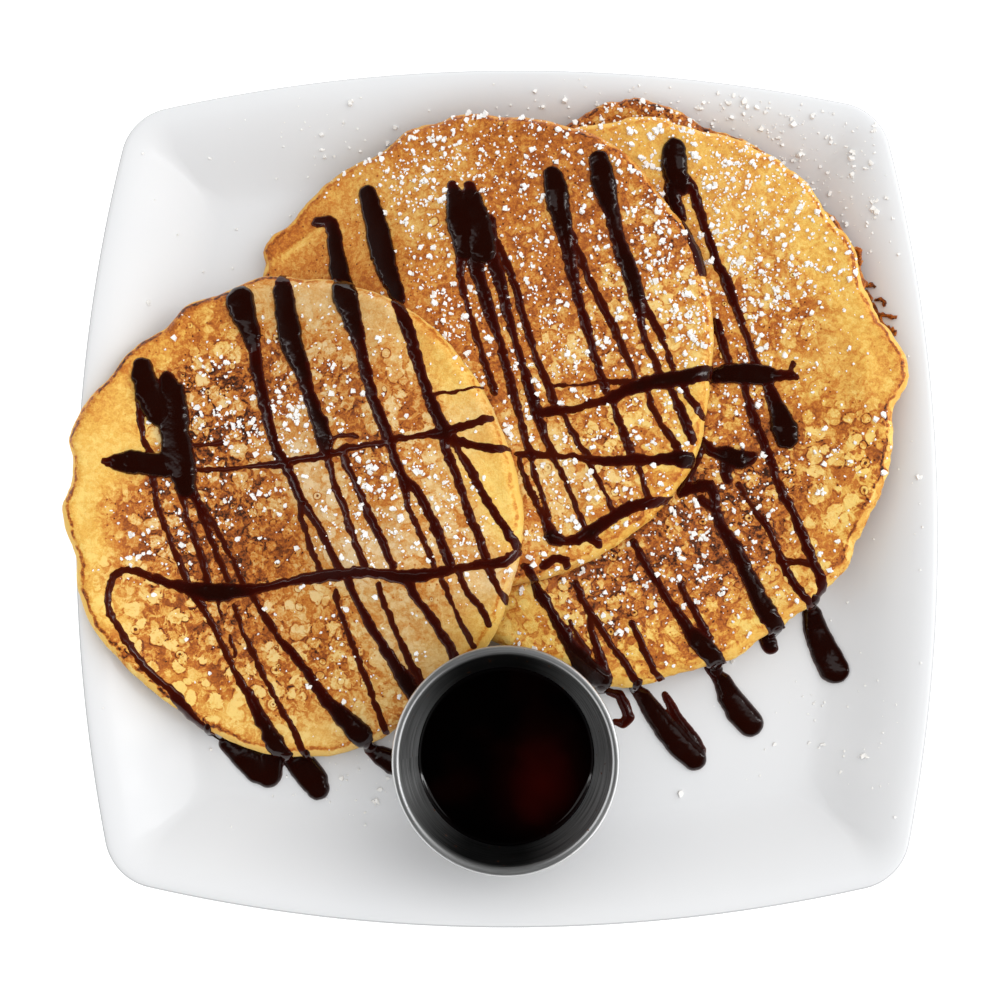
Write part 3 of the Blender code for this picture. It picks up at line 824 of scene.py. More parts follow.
def fried(name, line, line_at, pale_edge, warmth, fade=(0.0, 0.1, 1.0)):
    """The fried face of a pancake, with a brown line near its edge.

    line_at is how far in the line lies at the back and at the front, in millimetres. fade is
    where along x the line weakens, from and to, and the share that is left there.
    """
    made, tree, shader, place = surface(name)
    read = {key: painted(tree, key) for key in ("brown", "lace", "gold", "inset")}
    lace = read["lace"]
    broad = grain(tree, place, 0.0080, 3.0, 0.55, 0.3)
    patch = grain(tree, place, 0.0030, 4.0, 0.62, 0.8)
    mottle = grain(tree, place, 0.0011, 3.0, 0.6, 0.6)
    fine = grain(tree, place, 0.00045, 2.0, 0.6)
    blots = between(tree, patch, 0.43, 0.55)
    dabs = between(tree, mottle, 0.42, 0.58)
    tone = mix_in(tree, scaled(tree, read["brown"], 1.08, 0.02),
                  times(tree, minus(tree, broad, 0.5), scaled(tree, lace, 0.40, 0.34)), 1.0)
    tone = mix_in(tree, tone, minus(tree, blots, 0.5), scaled(tree, lace, 0.30, 0.08))
    tone = mix_in(tree, tone, minus(tree, dabs, 0.5), scaled(tree, read["brown"], 0.29, 0.02))
    tone = mix_in(tree, tone, minus(tree, fine, 0.5), 0.30)
    away, lot = flat_cells(tree, place, 0.0058, 0.0042)
    radius = scaled(tree, lot[0], 1.6, 1.0)
    island = between(tree, minus(tree, away, radius), 0.35, -0.35)
    shore = between(tree, sums(tree, "ABSOLUTE", minus(tree, away, radius)), 0.45, 0.05)
    shore = times(tree, shore, blots)
    island = times(tree, island, lace)
    tone = mix_in(tree, tone, island, -0.48)
    tone = mix_in(tree, tone, times(tree, shore, lace), 0.42)
    disc, rim, pore = bubbles(tree, place, lace, 0.0066, 0.34, 0.55, 1.35)
    tone = mix_in(tree, tone, disc, -0.20)
    tone = mix_in(tree, tone, rim, 0.26)
    tone = mix_in(tree, tone, pore, 0.60)
    contour = sums(tree, "ABSOLUTE", minus(tree, grain(tree, place, 0.0042, 2.0), 0.5))
    curls = times(tree, between(tree, contour, 0.030, 0.008),
                  between(tree, grain(tree, place, 0.0060, 1.0), 0.50, 0.60))
    curls = times(tree, curls, between(tree, lace, 0.15, 0.5))
    tone = mix_in(tree, tone, times(tree, curls, between(tree, read["brown"], 0.2, 0.5)), 0.22)
    speck, lot = flat_cells(tree, place, 0.0021)
    speck = times(tree, between(tree, speck, 0.32, 0.16), between(tree, lot[0], 0.80, 0.84))
    tone = mix_in(tree, tone, times(tree, speck, between(tree, read["brown"], 0.08, 0.35)), 0.38)
    tone = scaled(tree, tone, 1.17, -0.052)
    ring, outer = edge_marks(tree, place, read["inset"], line, line_at, fade, mottle)
    pull = times(tree, outer, pale_edge)
    tone = scaled(tree, pull, minus(tree, 0.12, tone), tone)
    tone = mix_in(tree, tone, ring, 0.62)
    golden = sums(tree, "MAXIMUM", sums(tree, "ADD", read["gold"], warmth), times(tree, pull, 0.8))
    colour = blend(tree, golden, ramp(tree, tone, PALE_STOPS), ramp(tree, tone, GOLD_STOPS))
    wet = between(tree, tone, 0.15, 0.75, 0.55, 0.36)
    shader.inputs["Specular IOR Level"].default_value = 0.35
    shader.inputs["Subsurface Weight"].default_value = 0.08
    shader.inputs["Subsurface Radius"].default_value = (1.0, 0.5, 0.2)
    shader.inputs["Subsurface Scale"].default_value = 0.001
    height = scaled(tree, patch, 0.5, times(tree, mottle, 0.45))
    height = scaled(tree, island, 0.25, height)
    height = scaled(tree, rim, 0.25, height)
    height = scaled(tree, pore, -0.9, height)
    dress(tree, shader, colour, wet, height, 0.0005)
    return made


SURFACES = {
    "bottom": fried("crisp_crust", 0.4, (1.6, 1.6), 0.2, 0.1),
    "right": fried("fried_yellow", 0.14, (2.4, 3.6), 0.60, 0.35, (0.078, 0.100, 4.6)),
    "middle": fried("fried_orange", 0.30, (2.0, 2.6), 0.6, 0.35),
    "front": fried("fried_golden", 0.90, (1.3, 2.6), 0.9, 0.08, (-0.085, -0.035, 0.40))}
print("fried surfaces", sorted(SURFACES))

# %% [markdown]
# ## Pancakes: the pieces
# Each pancake is a fan of rings about its middle, closer together at the edge, so that the edge
# stays a clean line while the top can carry swells and pock marks of about a millimetre.

# %% pancake pieces
SPOKES = 360
TOP_SHARES = np.linspace(0.02, 0.94, 52)


def make_pancake(name, layer, skin):
    """The solid of one pancake: underside, rounded edge, and an uneven top."""
    centre = np.array(layer["middle"]) * MM
    turn = np.linspace(-math.pi, math.pi, SPOKES, endpoint=False) + 0.003
    direction = np.column_stack([np.cos(turn), np.sin(turn)])
    reach = edge_reach(layer, turn)

    def ring(distance, share=None):
        place = centre + direction * distance[:, None]
        x, y = place[:, 0], place[:, 1]
        inset = reach - distance
        height = read_grid(layer["sheet"], x, y, CLOSE_CELL)
        if share is None:
            height = height + PANCAKE_THICKNESS * shoulder(inset) + relief(layer, x, y, inset)
        else:
            height = height + PANCAKE_THICKNESS * share
        return np.column_stack([place, height])

    rings = [ring(reach * part_way, 0.0) for part_way in (0.10, 0.3, 0.5, 0.7, 0.85, 0.95)]
    rings += [ring(reach - 0.0016, 0.03), ring(reach - 0.0006, 0.10), ring(reach - 0.0001, 0.22)]
    rings += [ring(reach - step) for step in (0.0, 0.0002, 0.0006, 0.0011, 0.0017, 0.0024, 0.0032)]
    inner = reach - 0.0032
    rings += [ring(inner * part_way) for part_way in TOP_SHARES[::-1] / TOP_SHARES[-1] * 0.985]
    low = rings[0][:, 2].mean()
    high = rings[-1][:, 2].mean()
    points, faces = rings_mesh(rings, (*centre, low), (*centre, high))
    inset = inset_of(layer, points[:, 0], points[:, 1])
    brown, lace, gold, _ = looks_at(layer["look"], points[:, 0], points[:, 1])
    if layer is LAYERS["middle"]:
        over, ridge = fold_at(points[:, 0], points[:, 1])
        brown = brown + 0.10 * over - 0.22 * ridge
    values = {"brown": brown, "lace": lace, "gold": gold, "inset": inset / MM}
    return solid(name, points, faces, skin, values)


for name, layer in LAYERS.items():
    made = make_pancake("pancake_" + name + "_fried", layer, SURFACES[name])
    keep(made, "pancake_" + name)
    print(made.name, len(made.data.polygons), "faces")

# %% [markdown]
# ## Crumbs of crust
# Frying lace breaks from the lowest pancake into little sticks and bits that lie beside it. Each
# is a short tube along two or three places in millimetres, of uneven thickness.

# %% crumbs
CRUMBS = [
    [(108.5, 59.5), (110.2, 55), (112.2, 50.5), (114.2, 46.5)], [(111.4, 52), (114, 50.8), (116.8, 50)],
    [(107.6, 62.5), (109.2, 60.8), (111, 60)], [(113.2, 47.6), (115.2, 46.6), (116, 44.8)],
    [(110.8, 56), (112.8, 55.6), (113.6, 54)], [(103.4, 73.5), (105, 70.5), (105.6, 67)],
    [(105.2, 66.2), (107.4, 65)], [(100, 80.2), (101.6, 77.6)]]
CRUMB_SIDES = 7


def stick(path, dice):
    """Rings and closing points of one crumb along its path."""
    places = np.array(path) * MM
    share = np.linspace(0.0, 1.0, 3 * len(path))
    x = np.interp(share, np.linspace(0, 1, len(path)), places[:, 0]) + dice.normal(0, 0.0002, len(share))
    y = np.interp(share, np.linspace(0, 1, len(path)), places[:, 1]) + dice.normal(0, 0.0002, len(share))
    radius = dice.uniform(0.0005, 0.0009, len(share)) * np.sin(math.pi * (0.15 + 0.7 * share)) ** 0.5
    z = stack_top(x, y) + radius * 0.9
    along = np.gradient(np.column_stack([x, y]), axis=0)
    along /= np.linalg.norm(along, axis=1)[:, None]
    turn = np.linspace(0.0, 2.0 * math.pi, CRUMB_SIDES, endpoint=False)
    rings = []
    for k in range(len(share)):
        wide = radius[k] * dice.uniform(0.8, 1.2, CRUMB_SIDES)
        rings.append(np.column_stack([x[k] - along[k, 1] * np.cos(turn) * wide,
                                      y[k] + along[k, 0] * np.cos(turn) * wide,
                                      z[k] + np.sin(turn) * wide]))
    return rings_mesh(rings, (x[0], y[0], z[0]), (x[-1], y[-1], z[-1]))


dice = np.random.default_rng(77)
points, crumb_faces = joined([stick(path, dice) for path in CRUMBS])
tones = {"brown": 0.62, "lace": 0.2, "gold": 0.5, "inset": 20.0}
crumbs = solid("crumbs_fried", points, crumb_faces, SURFACES["bottom"],
               {key: np.full(len(points), value) for key, value in tones.items()})
keep(crumbs)
print("crumbs", len(CRUMBS), "sticks,", len(crumb_faces), "faces")

# %% [markdown]
# ## Pot and syrup
# The pot is spun steel: a flat base, a rounded corner, a wall that widens to the mouth and a
# rolled bead. A profile is turned about the upright axis. The syrup's edge creeps up the wall
# a little and reaches just into the steel, so that no line of air shows round it.

# %% pot and syrup
POT_CENTRE = (0.0003, -0.0779)
POT_BASE_RADIUS = 0.0200
POT_HEIGHT = 0.0322
POT_FOOT = FLOOR_HEIGHT + 0.0008
POT_WALL = 0.0008
POT_CORNER = 0.0035
POT_MOUTH_RADIUS = 0.0297
BEAD_RADIUS = 0.0011
SYRUP_DEPTH = 0.0180
POT_STEPS = 160
POT_TOP = POT_HEIGHT - 2 * BEAD_RADIUS
BEAD_MIDDLE = POT_MOUTH_RADIUS + BEAD_RADIUS * 0.65
PAINTED_GLOW_PLACE = (POT_CENTRE[0] + 0.0105, POT_CENTRE[1] - 0.0080, POT_FOOT + SYRUP_DEPTH)


def pot_wall_radius(height):
    """Outer radius of the pot's tapering wall at a height above its foot."""
    share = (height - POT_CORNER) / (POT_TOP - POT_CORNER)
    start = POT_BASE_RADIUS + 0.0009
    return start + (POT_MOUTH_RADIUS - start) * share


def turned(name, profile, skin, inside_from=None):
    """Turn a profile of radius and height about the pot's axis; "inside" is 1 from a row on."""
    turn = np.linspace(0.0, 2.0 * math.pi, POT_STEPS, endpoint=False)
    rings = []
    for radius, height in profile[1:-1]:
        rings.append(np.column_stack([POT_CENTRE[0] + radius * np.cos(turn),
                                      POT_CENTRE[1] + radius * np.sin(turn),
                                      np.full(POT_STEPS, POT_FOOT + height)]))
    poles = [(*POT_CENTRE, POT_FOOT + profile[k][1]) for k in (0, -1)]
    points, faces = rings_mesh(rings, *poles)
    inside = np.zeros(len(points))
    if inside_from:
        inside[1 + (inside_from - 1) * POT_STEPS:] = 1.0
    return solid(name, points, faces, skin, {"inside": inside})


def pot_profile():
    """From the middle of the underside, up the outer wall, over the bead and down inside."""
    rows = [(0.0, 0.0), (POT_BASE_RADIUS - POT_CORNER * 0.8, 0.0)]
    for share in np.linspace(0.15, 1.0, 6):
        turn = share * math.pi / 2.0
        rows.append((POT_BASE_RADIUS - POT_CORNER * 0.8 + (POT_CORNER * 0.8 + 0.0009) * math.sin(turn),
                     POT_CORNER * (1.0 - math.cos(turn))))
    for height in np.linspace(POT_CORNER + 0.003, POT_TOP, 8):
        rows.append((pot_wall_radius(height), height))
    for degrees in range(-70, 171, 20):
        turn = math.radians(degrees)
        rows.append((BEAD_MIDDLE + BEAD_RADIUS * math.cos(turn),
                     POT_HEIGHT - BEAD_RADIUS + BEAD_RADIUS * math.sin(turn)))
    for height in np.linspace(POT_TOP - 0.0006, POT_CORNER + 0.001, 14):
        rows.append((pot_wall_radius(height) - POT_WALL, height))
    for share in np.linspace(0.8, 0.0, 5):
        turn = share * math.pi / 2.0
        rows.append((POT_BASE_RADIUS - POT_CORNER + (POT_CORNER - POT_WALL) * math.sin(turn),
                     POT_WALL + (POT_CORNER - POT_WALL) * (1.0 - math.cos(turn))))
    rows.append((0.0, POT_WALL))
    return rows


def syrup_profile():
    """Flat to near the wall, then a small rise that ends inside the steel."""
    wall = pot_wall_radius(SYRUP_DEPTH) - POT_WALL
    rows = [(0.0, POT_WALL * 0.6), (POT_BASE_RADIUS - POT_CORNER * 0.6, POT_WALL * 0.6),
            (pot_wall_radius(POT_CORNER) - POT_WALL * 0.6, POT_CORNER),
            (wall + 0.0003, SYRUP_DEPTH - 0.0006), (wall + 0.0003, SYRUP_DEPTH + 0.0007),
            (wall - 0.0001, SYRUP_DEPTH + 0.00055)]
    for step in (0.0004, 0.0009, 0.0016, 0.0026, 0.0045, 0.009, 0.015):
        rows.append((wall - step, SYRUP_DEPTH + 0.00055 * math.exp(-step / 0.0007)))
    rows.append((0.0, SYRUP_DEPTH))
    return rows


print("pot profile", len(pot_profile()), "rows; syrup profile", len(syrup_profile()), "rows")

# %% [markdown]
# Steel is metal in the shader's own sense, with painted sheen and highlights. Syrup is a very dark gloss:
# what looks like depth is a faint red glow painted on one side, where light would shine through it.

# %% steel and syrup
def steel():
    """Spun steel: fine rings round the axis, painted highlights on the bead, dried specks of syrup.

    The sheen is painted: the inner wall and the bead are brighter at the sides and dark to the front and
    back, as if the steel reflected two side lights.
    """
    made, tree, shader, place = surface("spun_steel")
    x, y, z = axes_of(tree, seen_from(tree, place, (*POT_CENTRE, 0.0)))
    turn = sums(tree, "ARCTAN2", y, x)
    away = sums(tree, "SQRT", scaled(tree, x, x, times(tree, y, y)))
    across = sums(tree, "DIVIDE", x, away)
    # painted sheen: brighter towards the sides and darkest to the front and back, by direction round the
    # axis
    painted_side_sheen = between(tree, sums(tree, "ABSOLUTE", sums(tree, "ADD", across, 0.12)), 0.25, 1.05)
    line = part(tree, "ShaderNodeCombineXYZ")
    tree.links.new(times(tree, z, 2600.0), line.inputs[0])
    tree.links.new(times(tree, turn, 1.2), line.inputs[1])
    rings = grain(tree, line.outputs[0], 1.0, 3.0)
    inside = painted(tree, "inside")
    rim = POT_FOOT + POT_HEIGHT
    bead = between(tree, z, rim - 1.7 * BEAD_RADIUS, rim - BEAD_RADIUS)
    off = sums(tree, "ABSOLUTE", minus(tree, away, BEAD_MIDDLE))
    # painted highlight: thin bright lines along the bead, stronger at the sides
    bead_highlight = times(tree, between(tree, off, 0.00035, 0.00060), between(tree, off, 0.00100, 0.00085))
    bead_highlight = times(tree, bead_highlight, bead)
    dark = times(tree, inside, minus(tree, 1.0, bead))
    value = between(tree, rings, 0.3, 0.7, 0.42, 0.58)
    streak = between(tree, rings, 0.35, 0.65, 0.6, 1.3)
    # painted sheen and shade on the inner wall: bright at the sides, near black to the front and back
    wall = times(tree, scaled(tree, painted_side_sheen, 0.50, 0.06), streak)
    value = scaled(tree, dark, minus(tree, wall, value), value)
    value = scaled(tree, bead_highlight, scaled(tree, painted_side_sheen, 0.40, 0.10), value)
    tone = ramp(tree, value, [(0.0, (0.0, 0.0, 0.0)), (1.0, (0.99, 1.0, 1.0))])
    specks = between(tree, grain(tree, place, 0.0016, 2.0), 0.70, 0.76)
    colour = blend(tree, specks, tone, (0.20, 0.06, 0.015, 1.0))
    # the painted sheen also takes some metal away, so that the sides catch more diffuse light
    metal = scaled(tree, times(tree, painted_side_sheen, dark), -0.12, 0.97)
    metal = scaled(tree, bead, -0.12, metal)
    metal = scaled(tree, times(tree, bead_highlight, painted_side_sheen), -0.40, metal)
    metal = times(tree, minus(tree, 1.0, specks), metal)
    tree.links.new(metal, shader.inputs["Metallic"])
    dress(tree, shader, colour, between(tree, rings, 0.3, 0.7, 0.32, 0.44), rings, 0.00004)
    return made


def syrup_skin():
    """Nearly black syrup, with a faint red glow painted on one side where light would shine through."""
    made, tree, shader, place = surface("dark_syrup")
    drift = grain(tree, place, 0.020, 2.0)
    away = part(tree, "ShaderNodeVectorMath", operation="LENGTH")
    tree.links.new(seen_from(tree, place, PAINTED_GLOW_PLACE), away.inputs[0])
    # painted glow: the colour turns red round one place, as light coming through the syrup
    painted_glow = between(tree, away.outputs["Value"], 0.0200, -0.0040)
    red = scaled(tree, between(tree, drift, 0.45, 0.65), 0.22, painted_glow)
    colour = ramp(tree, red, [(0.0, (0.0003, 0.0001, 0.0001)), (0.35, (0.0035, 0.0003, 0.0002)),
                              (1.0, (0.022, 0.0009, 0.0006))])
    rough = between(tree, drift, 0.3, 0.7, 0.05, 0.08)
    dress(tree, shader, colour, rough, grain(tree, place, 0.012, 1.0), 0.00003)
    return made


profile = pot_profile()
last_bead = max(k for k, (_, height) in enumerate(profile) if height > POT_HEIGHT - BEAD_RADIUS)
pot = turned("syrup_pot_spun", profile, steel(), last_bead + 1)
keep(pot, "syrup_pot")
syrup = turned("syrup_pool", syrup_profile(), syrup_skin())
keep(syrup, "syrup")
print("pot", len(pot.data.polygons), "faces; syrup", len(syrup.data.polygons), "faces")

# %% [markdown]
# ## Chocolate sauce: the strands
# The sauce was poured to and fro from a spout. Each list is one strand: its middle line and its
# width, in millimetres. A strand starts wide and round and thins to a tail.

# %% strands on the front pancake
FRONT_SAUCE = [
    [(-107, 35.7, 5.5), (-106.5, 31.7, 7), (-104.6, 26.7, 8), (-101.6, 21.7, 8)],
    [(-99.6, 31.7, 5), (-98.1, 27.7, 7.5), (-97.6, 21.7, 9), (-97.1, 14.8, 9), (-96.1, 8.8, 10),
     (-94.6, 3.8, 8), (-93.6, -0.2, 6)],
    [(-107.5, 25.7, 2.5), (-107.1, 19.7, 2), (-106.1, 13.8, 1.8), (-104.1, 10.3, 2)],
    [(-117, 7, 2), (-113.5, 7, 5), (-109.5, 7.1, 7.3), (-104.6, 6.6, 7.3), (-98.6, 6.3, 7)],
    [(-103.2, 3.8, 2.2), (-102.8, -1.2, 1.8), (-102, -5.2, 1.8), (-100.6, -9.1, 1.9), (-99.1, -13.1, 1.9),
     (-97.1, -18.1, 2), (-94.9, -23.1, 2), (-92.6, -28.1, 2.2)],
    [(-95.6, 0.8, 2.6), (-94.6, -4.2, 2.2), (-93.2, -9.1, 2.2), (-91.5, -14.1, 2.2), (-89.6, -20.1, 2.2),
     (-87.9, -26.1, 2.4), (-86.6, -30.1, 2.6)],
    [(-92.1, -0.2, 3.4), (-90, -5.2, 3), (-88.2, -10.6, 2.4), (-86.1, -16.6, 2.2), (-83.6, -22.1, 2),
     (-81.6, -27.1, 2)],
    [(-88.6, -7.1, 2.4), (-85, -11.6, 1.8), (-82.2, -17.1, 1.8), (-79.4, -23.1, 1.8), (-77.2, -28.1, 2)],
    [(-78.5, 55.8, 9), (-77.3, 50.6, 7.8), (-74.9, 45.1, 5.8), (-73.9, 39.7, 3.6), (-73.3, 35.2, 4.2),
     (-72, 29.7, 3.8), (-70.7, 24.2, 3.8), (-69.4, 18.8, 3.6), (-67.7, 12.8, 3.6), (-65.7, 8.8, 3.4),
     (-63.6, 5.3, 3.3), (-60.9, -0.2, 3.2), (-58.7, -4.7, 3.4)],
    [(-58.7, -4.7, 2.6), (-59, -9.1, 2.2), (-57.5, -14.6, 2), (-55.8, -20.1, 2), (-53.2, -25.1, 2)],
    [(-58.7, -4.7, 2.6), (-56.6, -8.1, 2.5), (-53.8, -12.1, 2.5), (-51.6, -16.6, 2.5), (-49.1, -21.6, 2.4),
     (-47.2, -24.6, 2.4)],
    [(-66, 62.4, 3), (-65.7, 60.5, 4.4), (-65.5, 58.1, 5.8), (-64.7, 53.1, 7), (-63.9, 48.6, 7.2),
     (-62.9, 43.7, 7.4), (-61.7, 39.2, 6.8), (-60.1, 35.2, 5.6), (-58.5, 31.7, 4.6), (-56.9, 26.7, 4.2),
     (-55.7, 22.7, 4.6), (-53.9, 18.3, 5.2), (-52.5, 13.8, 5.2), (-51.6, 10.3, 4)],
    [(-51.2, 8.8, 2.6), (-50.3, 4.3, 2.3), (-48.9, -0.7, 2.2), (-46.8, -5.2, 2.3), (-45.2, -10.1, 2.3),
     (-43.4, -15.1, 2.2), (-41.7, -19.6, 2.2), (-40, -24.1, 2.2)],
    [(-46.8, 8.8, 2.4), (-44.6, 3.6, 2.4), (-42.5, -0.7, 2.2), (-40.6, -5.2, 2.4), (-38.8, -9.4, 2.8),
     (-36, -14.4, 3), (-33.8, -19.4, 2.8), (-31.7, -24.1, 2.8)],
    [(-47.8, 60.9, 5), (-47.1, 58.1, 7), (-46.6, 55.1, 8), (-44.8, 50.1, 6.4), (-43.1, 44.6, 4.8),
     (-41.9, 39.7, 3.8), (-40.6, 34.7, 3.8), (-39.2, 29.7, 3.6), (-37.8, 24.7, 3.4), (-36, 19.7, 3.6),
     (-34.1, 15.5, 3.6), (-32.4, 10.5, 3), (-30.9, 5.5, 3), (-28.5, 0.5, 3.6), (-28, -3.8, 2.4)],
    [(-28, -3.8, 2.2), (-27.1, -8.1, 2), (-24.7, -13.1, 2), (-22.5, -17.4, 2), (-20.7, -21.6, 2),
     (-19.4, -25.1, 2)],
    [(-27.9, 0.3, 2.6), (-25.3, -1.8, 2.8), (-23.2, -5.2, 2.8), (-21.3, -9.6, 3), (-18.9, -14.4, 3),
     (-16.8, -19.4, 3), (-15.2, -24.1, 3)],
    [(-31, 53.4, 3.6), (-29.5, 49.6, 3.6), (-28.7, 47.1, 4.4), (-27.3, 43.2, 3.9), (-25.8, 38.3, 3.5),
     (-24.3, 32.7, 3.3), (-22.5, 27.7, 3.6), (-20.9, 22.7, 3.9), (-18.8, 18.4, 4), (-16.9, 14.3, 4.2)],
    [(-16.9, 12.8, 3.2), (-16.8, 9.3, 2.8), (-14.6, 4.1, 2.7), (-12.8, -0.9, 2.6), (-11.1, -5.8, 2.6),
     (-9.2, -11.1, 2.6), (-7, -16.3, 2.6), (-5.2, -22.1, 2.6)],
    [(-14.4, 11.8, 2), (-13.2, 9.1, 2), (-10.5, 5, 2.3), (-7.5, -0.7, 2.4), (-5.1, -5.2, 2.5),
     (-2.6, -9.4, 2.5), (0.3, -13.7, 2.6), (3.2, -18.3, 3)],
    [(-91.8, 5.5, 1.5), (-87.9, 5.2, 1.4), (-82.2, 5.2, 1.4), (-76.6, 5.9, 1.5), (-70.8, 5.9, 2),
     (-66.2, 6.3, 3), (-60.8, 7.3, 2.4), (-55.2, 7.8, 2.7), (-49.5, 8.8, 2.7), (-45.2, 10.1, 2.2),
     (-40.9, 10.6, 2), (-36.7, 11, 2), (-32.4, 11.9, 2.4), (-27.5, 12.7, 2), (-22.5, 13.4, 2.4),
     (-18.2, 13.8, 3.6), (-13.9, 15.5, 2.8), (-9.7, 16.4, 2.2), (-6, 17.5, 2.1), (-3.4, 18.1, 1.8)],
    [(-16.4, 13.3, 3), (-13.4, 11.8, 2.4), (-9.7, 10.5, 2.6), (-5.6, 9.5, 3), (-1.2, 9.3, 2.6),
     (2, 9.6, 1.4)],
    [(-91.8, 12.3, 1.1), (-87.9, 12.4, 1), (-85.1, 12.7, 1.3), (-83.4, 13, 2)],
    [(-50.8, 12.8, 1.2), (-48.3, 13.8, 1.5), (-45.2, 14.2, 1.5), (-42.3, 13.4, 1.2)],
    [(-19.6, 25.4, 1.2), (-16, 25.7, 1), (-11.8, 26.6, 1), (-7.5, 27.3, 1.1), (-5.8, 27.7, 1)]]
FRONT_SAUCE_LOW = [
    [(-85.6, -74.9, 2.6), (-88.1, -72.5, 3), (-91.4, -68.9, 3.4), (-94.1, -65.4, 3), (-96.6, -61.9, 2.4)],
    [(-89.3, -70.3, 2.4), (-91.5, -67, 2.6), (-93.6, -64.2, 2.6), (-95.8, -61.3, 2.5),
     (-98.6, -58.6, 2.3), (-102.2, -55.4, 2.2), (-105, -52.1, 2), (-107.4, -48.6, 2),
     (-109.9, -44.3, 2), (-112.1, -40.7, 2), (-114.2, -37.1, 1.9), (-114.9, -33.5, 1.9),
     (-114.7, -29.6, 1.9), (-113.5, -26.5, 2), (-111.2, -24.8, 2), (-107.8, -24.7, 2.1),
     (-104.8, -25.8, 2.4), (-101.5, -27.2, 2.7), (-97.9, -28.6, 3.1), (-94.3, -29.4, 3.6),
     (-90.6, -30.2, 4.6), (-86.5, -31, 5.4), (-82.2, -31, 5.4), (-78, -30.5, 4.6), (-73.2, -29.9, 3.2),
     (-69.2, -29.3, 2.6), (-64.4, -28.3, 2.8), (-59.4, -27.3, 3), (-54.5, -26.8, 3.4),
     (-48.8, -26.1, 3.7), (-43.1, -25.5, 3.4), (-38.1, -25.8, 3.2), (-33.8, -26.5, 3.5), (-28.9, -27.1, 4),
     (-23.9, -26.8, 3.8), (-19.6, -26.1, 3.4), (-15.3, -25.1, 2.8), (-11, -24.3, 2.4), (-6.9, -23.4, 2.8),
     (-3, -23.1, 3.3), (0, -22.7, 3.2), (2.5, -21.4, 2.8), (4.2, -20.1, 2)],
    [(-90.9, -32, 3), (-87.9, -36.4, 2.2), (-85, -42.1, 2), (-82.5, -47.9, 2.1), (-80.1, -52.9, 2.3),
     (-77.3, -57.8, 2.4), (-74.7, -62, 2.8), (-72.9, -66.3, 4), (-70.1, -70.8, 4.8),
     (-67.7, -75.6, 5.6), (-65.9, -78.9, 5.8)],
    [(-84.3, -33.5, 1.2), (-83.6, -37.9, 1.2)], [(-81.1, -43.5, 1), (-79.3, -50, 1)],
    [(-79.7, -35, 1.6), (-79.1, -37.1, 1.5), (-77.3, -42.1, 1.6), (-74.6, -47.9, 1.7),
     (-72.3, -53.2, 1.8), (-69.7, -58.5, 1.8), (-67.2, -62.9, 1.9), (-65, -66.9, 2), (-62.9, -70.4, 2),
     (-60.8, -74.4, 2.2), (-59.2, -78.5, 2.4)],
    [(-74, -32.5, 2.2), (-70.7, -38.3, 2.2), (-66.9, -43.9, 2.4), (-62.5, -48.9, 2.8),
     (-58.5, -54.3, 3.1), (-55.2, -59.7, 3.4), (-51.7, -63.5, 4), (-48.1, -67, 5.4),
     (-44.7, -70.5, 6.8), (-42.4, -72.8, 7.2)],
    [(-49, -31, 1.8), (-48.8, -34.3, 1.7), (-46.7, -40.7, 1.8), (-44.2, -47.1, 1.8),
     (-42.4, -52.1, 1.9), (-40.6, -57, 2), (-38.8, -62, 2), (-36.7, -67, 2.1), (-35, -71.9, 1.9)],
    [(-45, -28.1, 2.6), (-44, -31.6, 2.6), (-41.7, -35.7, 2.9), (-39.5, -40, 3), (-36.4, -45, 3.2),
     (-33.8, -49.3, 3.6), (-31.1, -53.6, 4.4), (-28.2, -57.8, 5.4), (-25.9, -60.9, 5.4)],
    [(-36, -29.1, 2), (-35.6, -32.1, 1.9), (-33.8, -36.4, 1.9), (-31.8, -41.4, 1.9), (-29.6, -47, 2.3),
     (-27.5, -51.4, 2.4), (-24.6, -56.5, 2.4)],
    [(-27.4, -28.6, 3), (-26.3, -31.6, 2.9), (-23.9, -35, 2.8), (-21.1, -38.6, 2.6), (-18.9, -42.1, 2.8),
     (-16.8, -45.7, 3), (-14.5, -49.6, 3)],
    [(-17.9, -28.1, 1.8), (-16.8, -30.7, 1.6), (-14.7, -35, 1.6), (-12.5, -40, 1.6), (-10.3, -44.3, 1.8),
     (-8.8, -47, 1.8)],
    [(-12.9, -26.1, 2), (-11.2, -30.1, 2), (-9.2, -33.6, 1.9), (-6.9, -36, 2.2), (-4.6, -40.2, 2.3)],
    [(-4.4, -24.6, 2.2), (-2.9, -28.1, 2), (-1.5, -30.7, 1.8), (0.4, -34, 1.6)]]
print("front strands", len(FRONT_SAUCE) + len(FRONT_SAUCE_LOW))

# %% [markdown]
# The strands go on over the middle pancake and the right one. They thin where they were drawn
# out, and pool where the spout turned back.

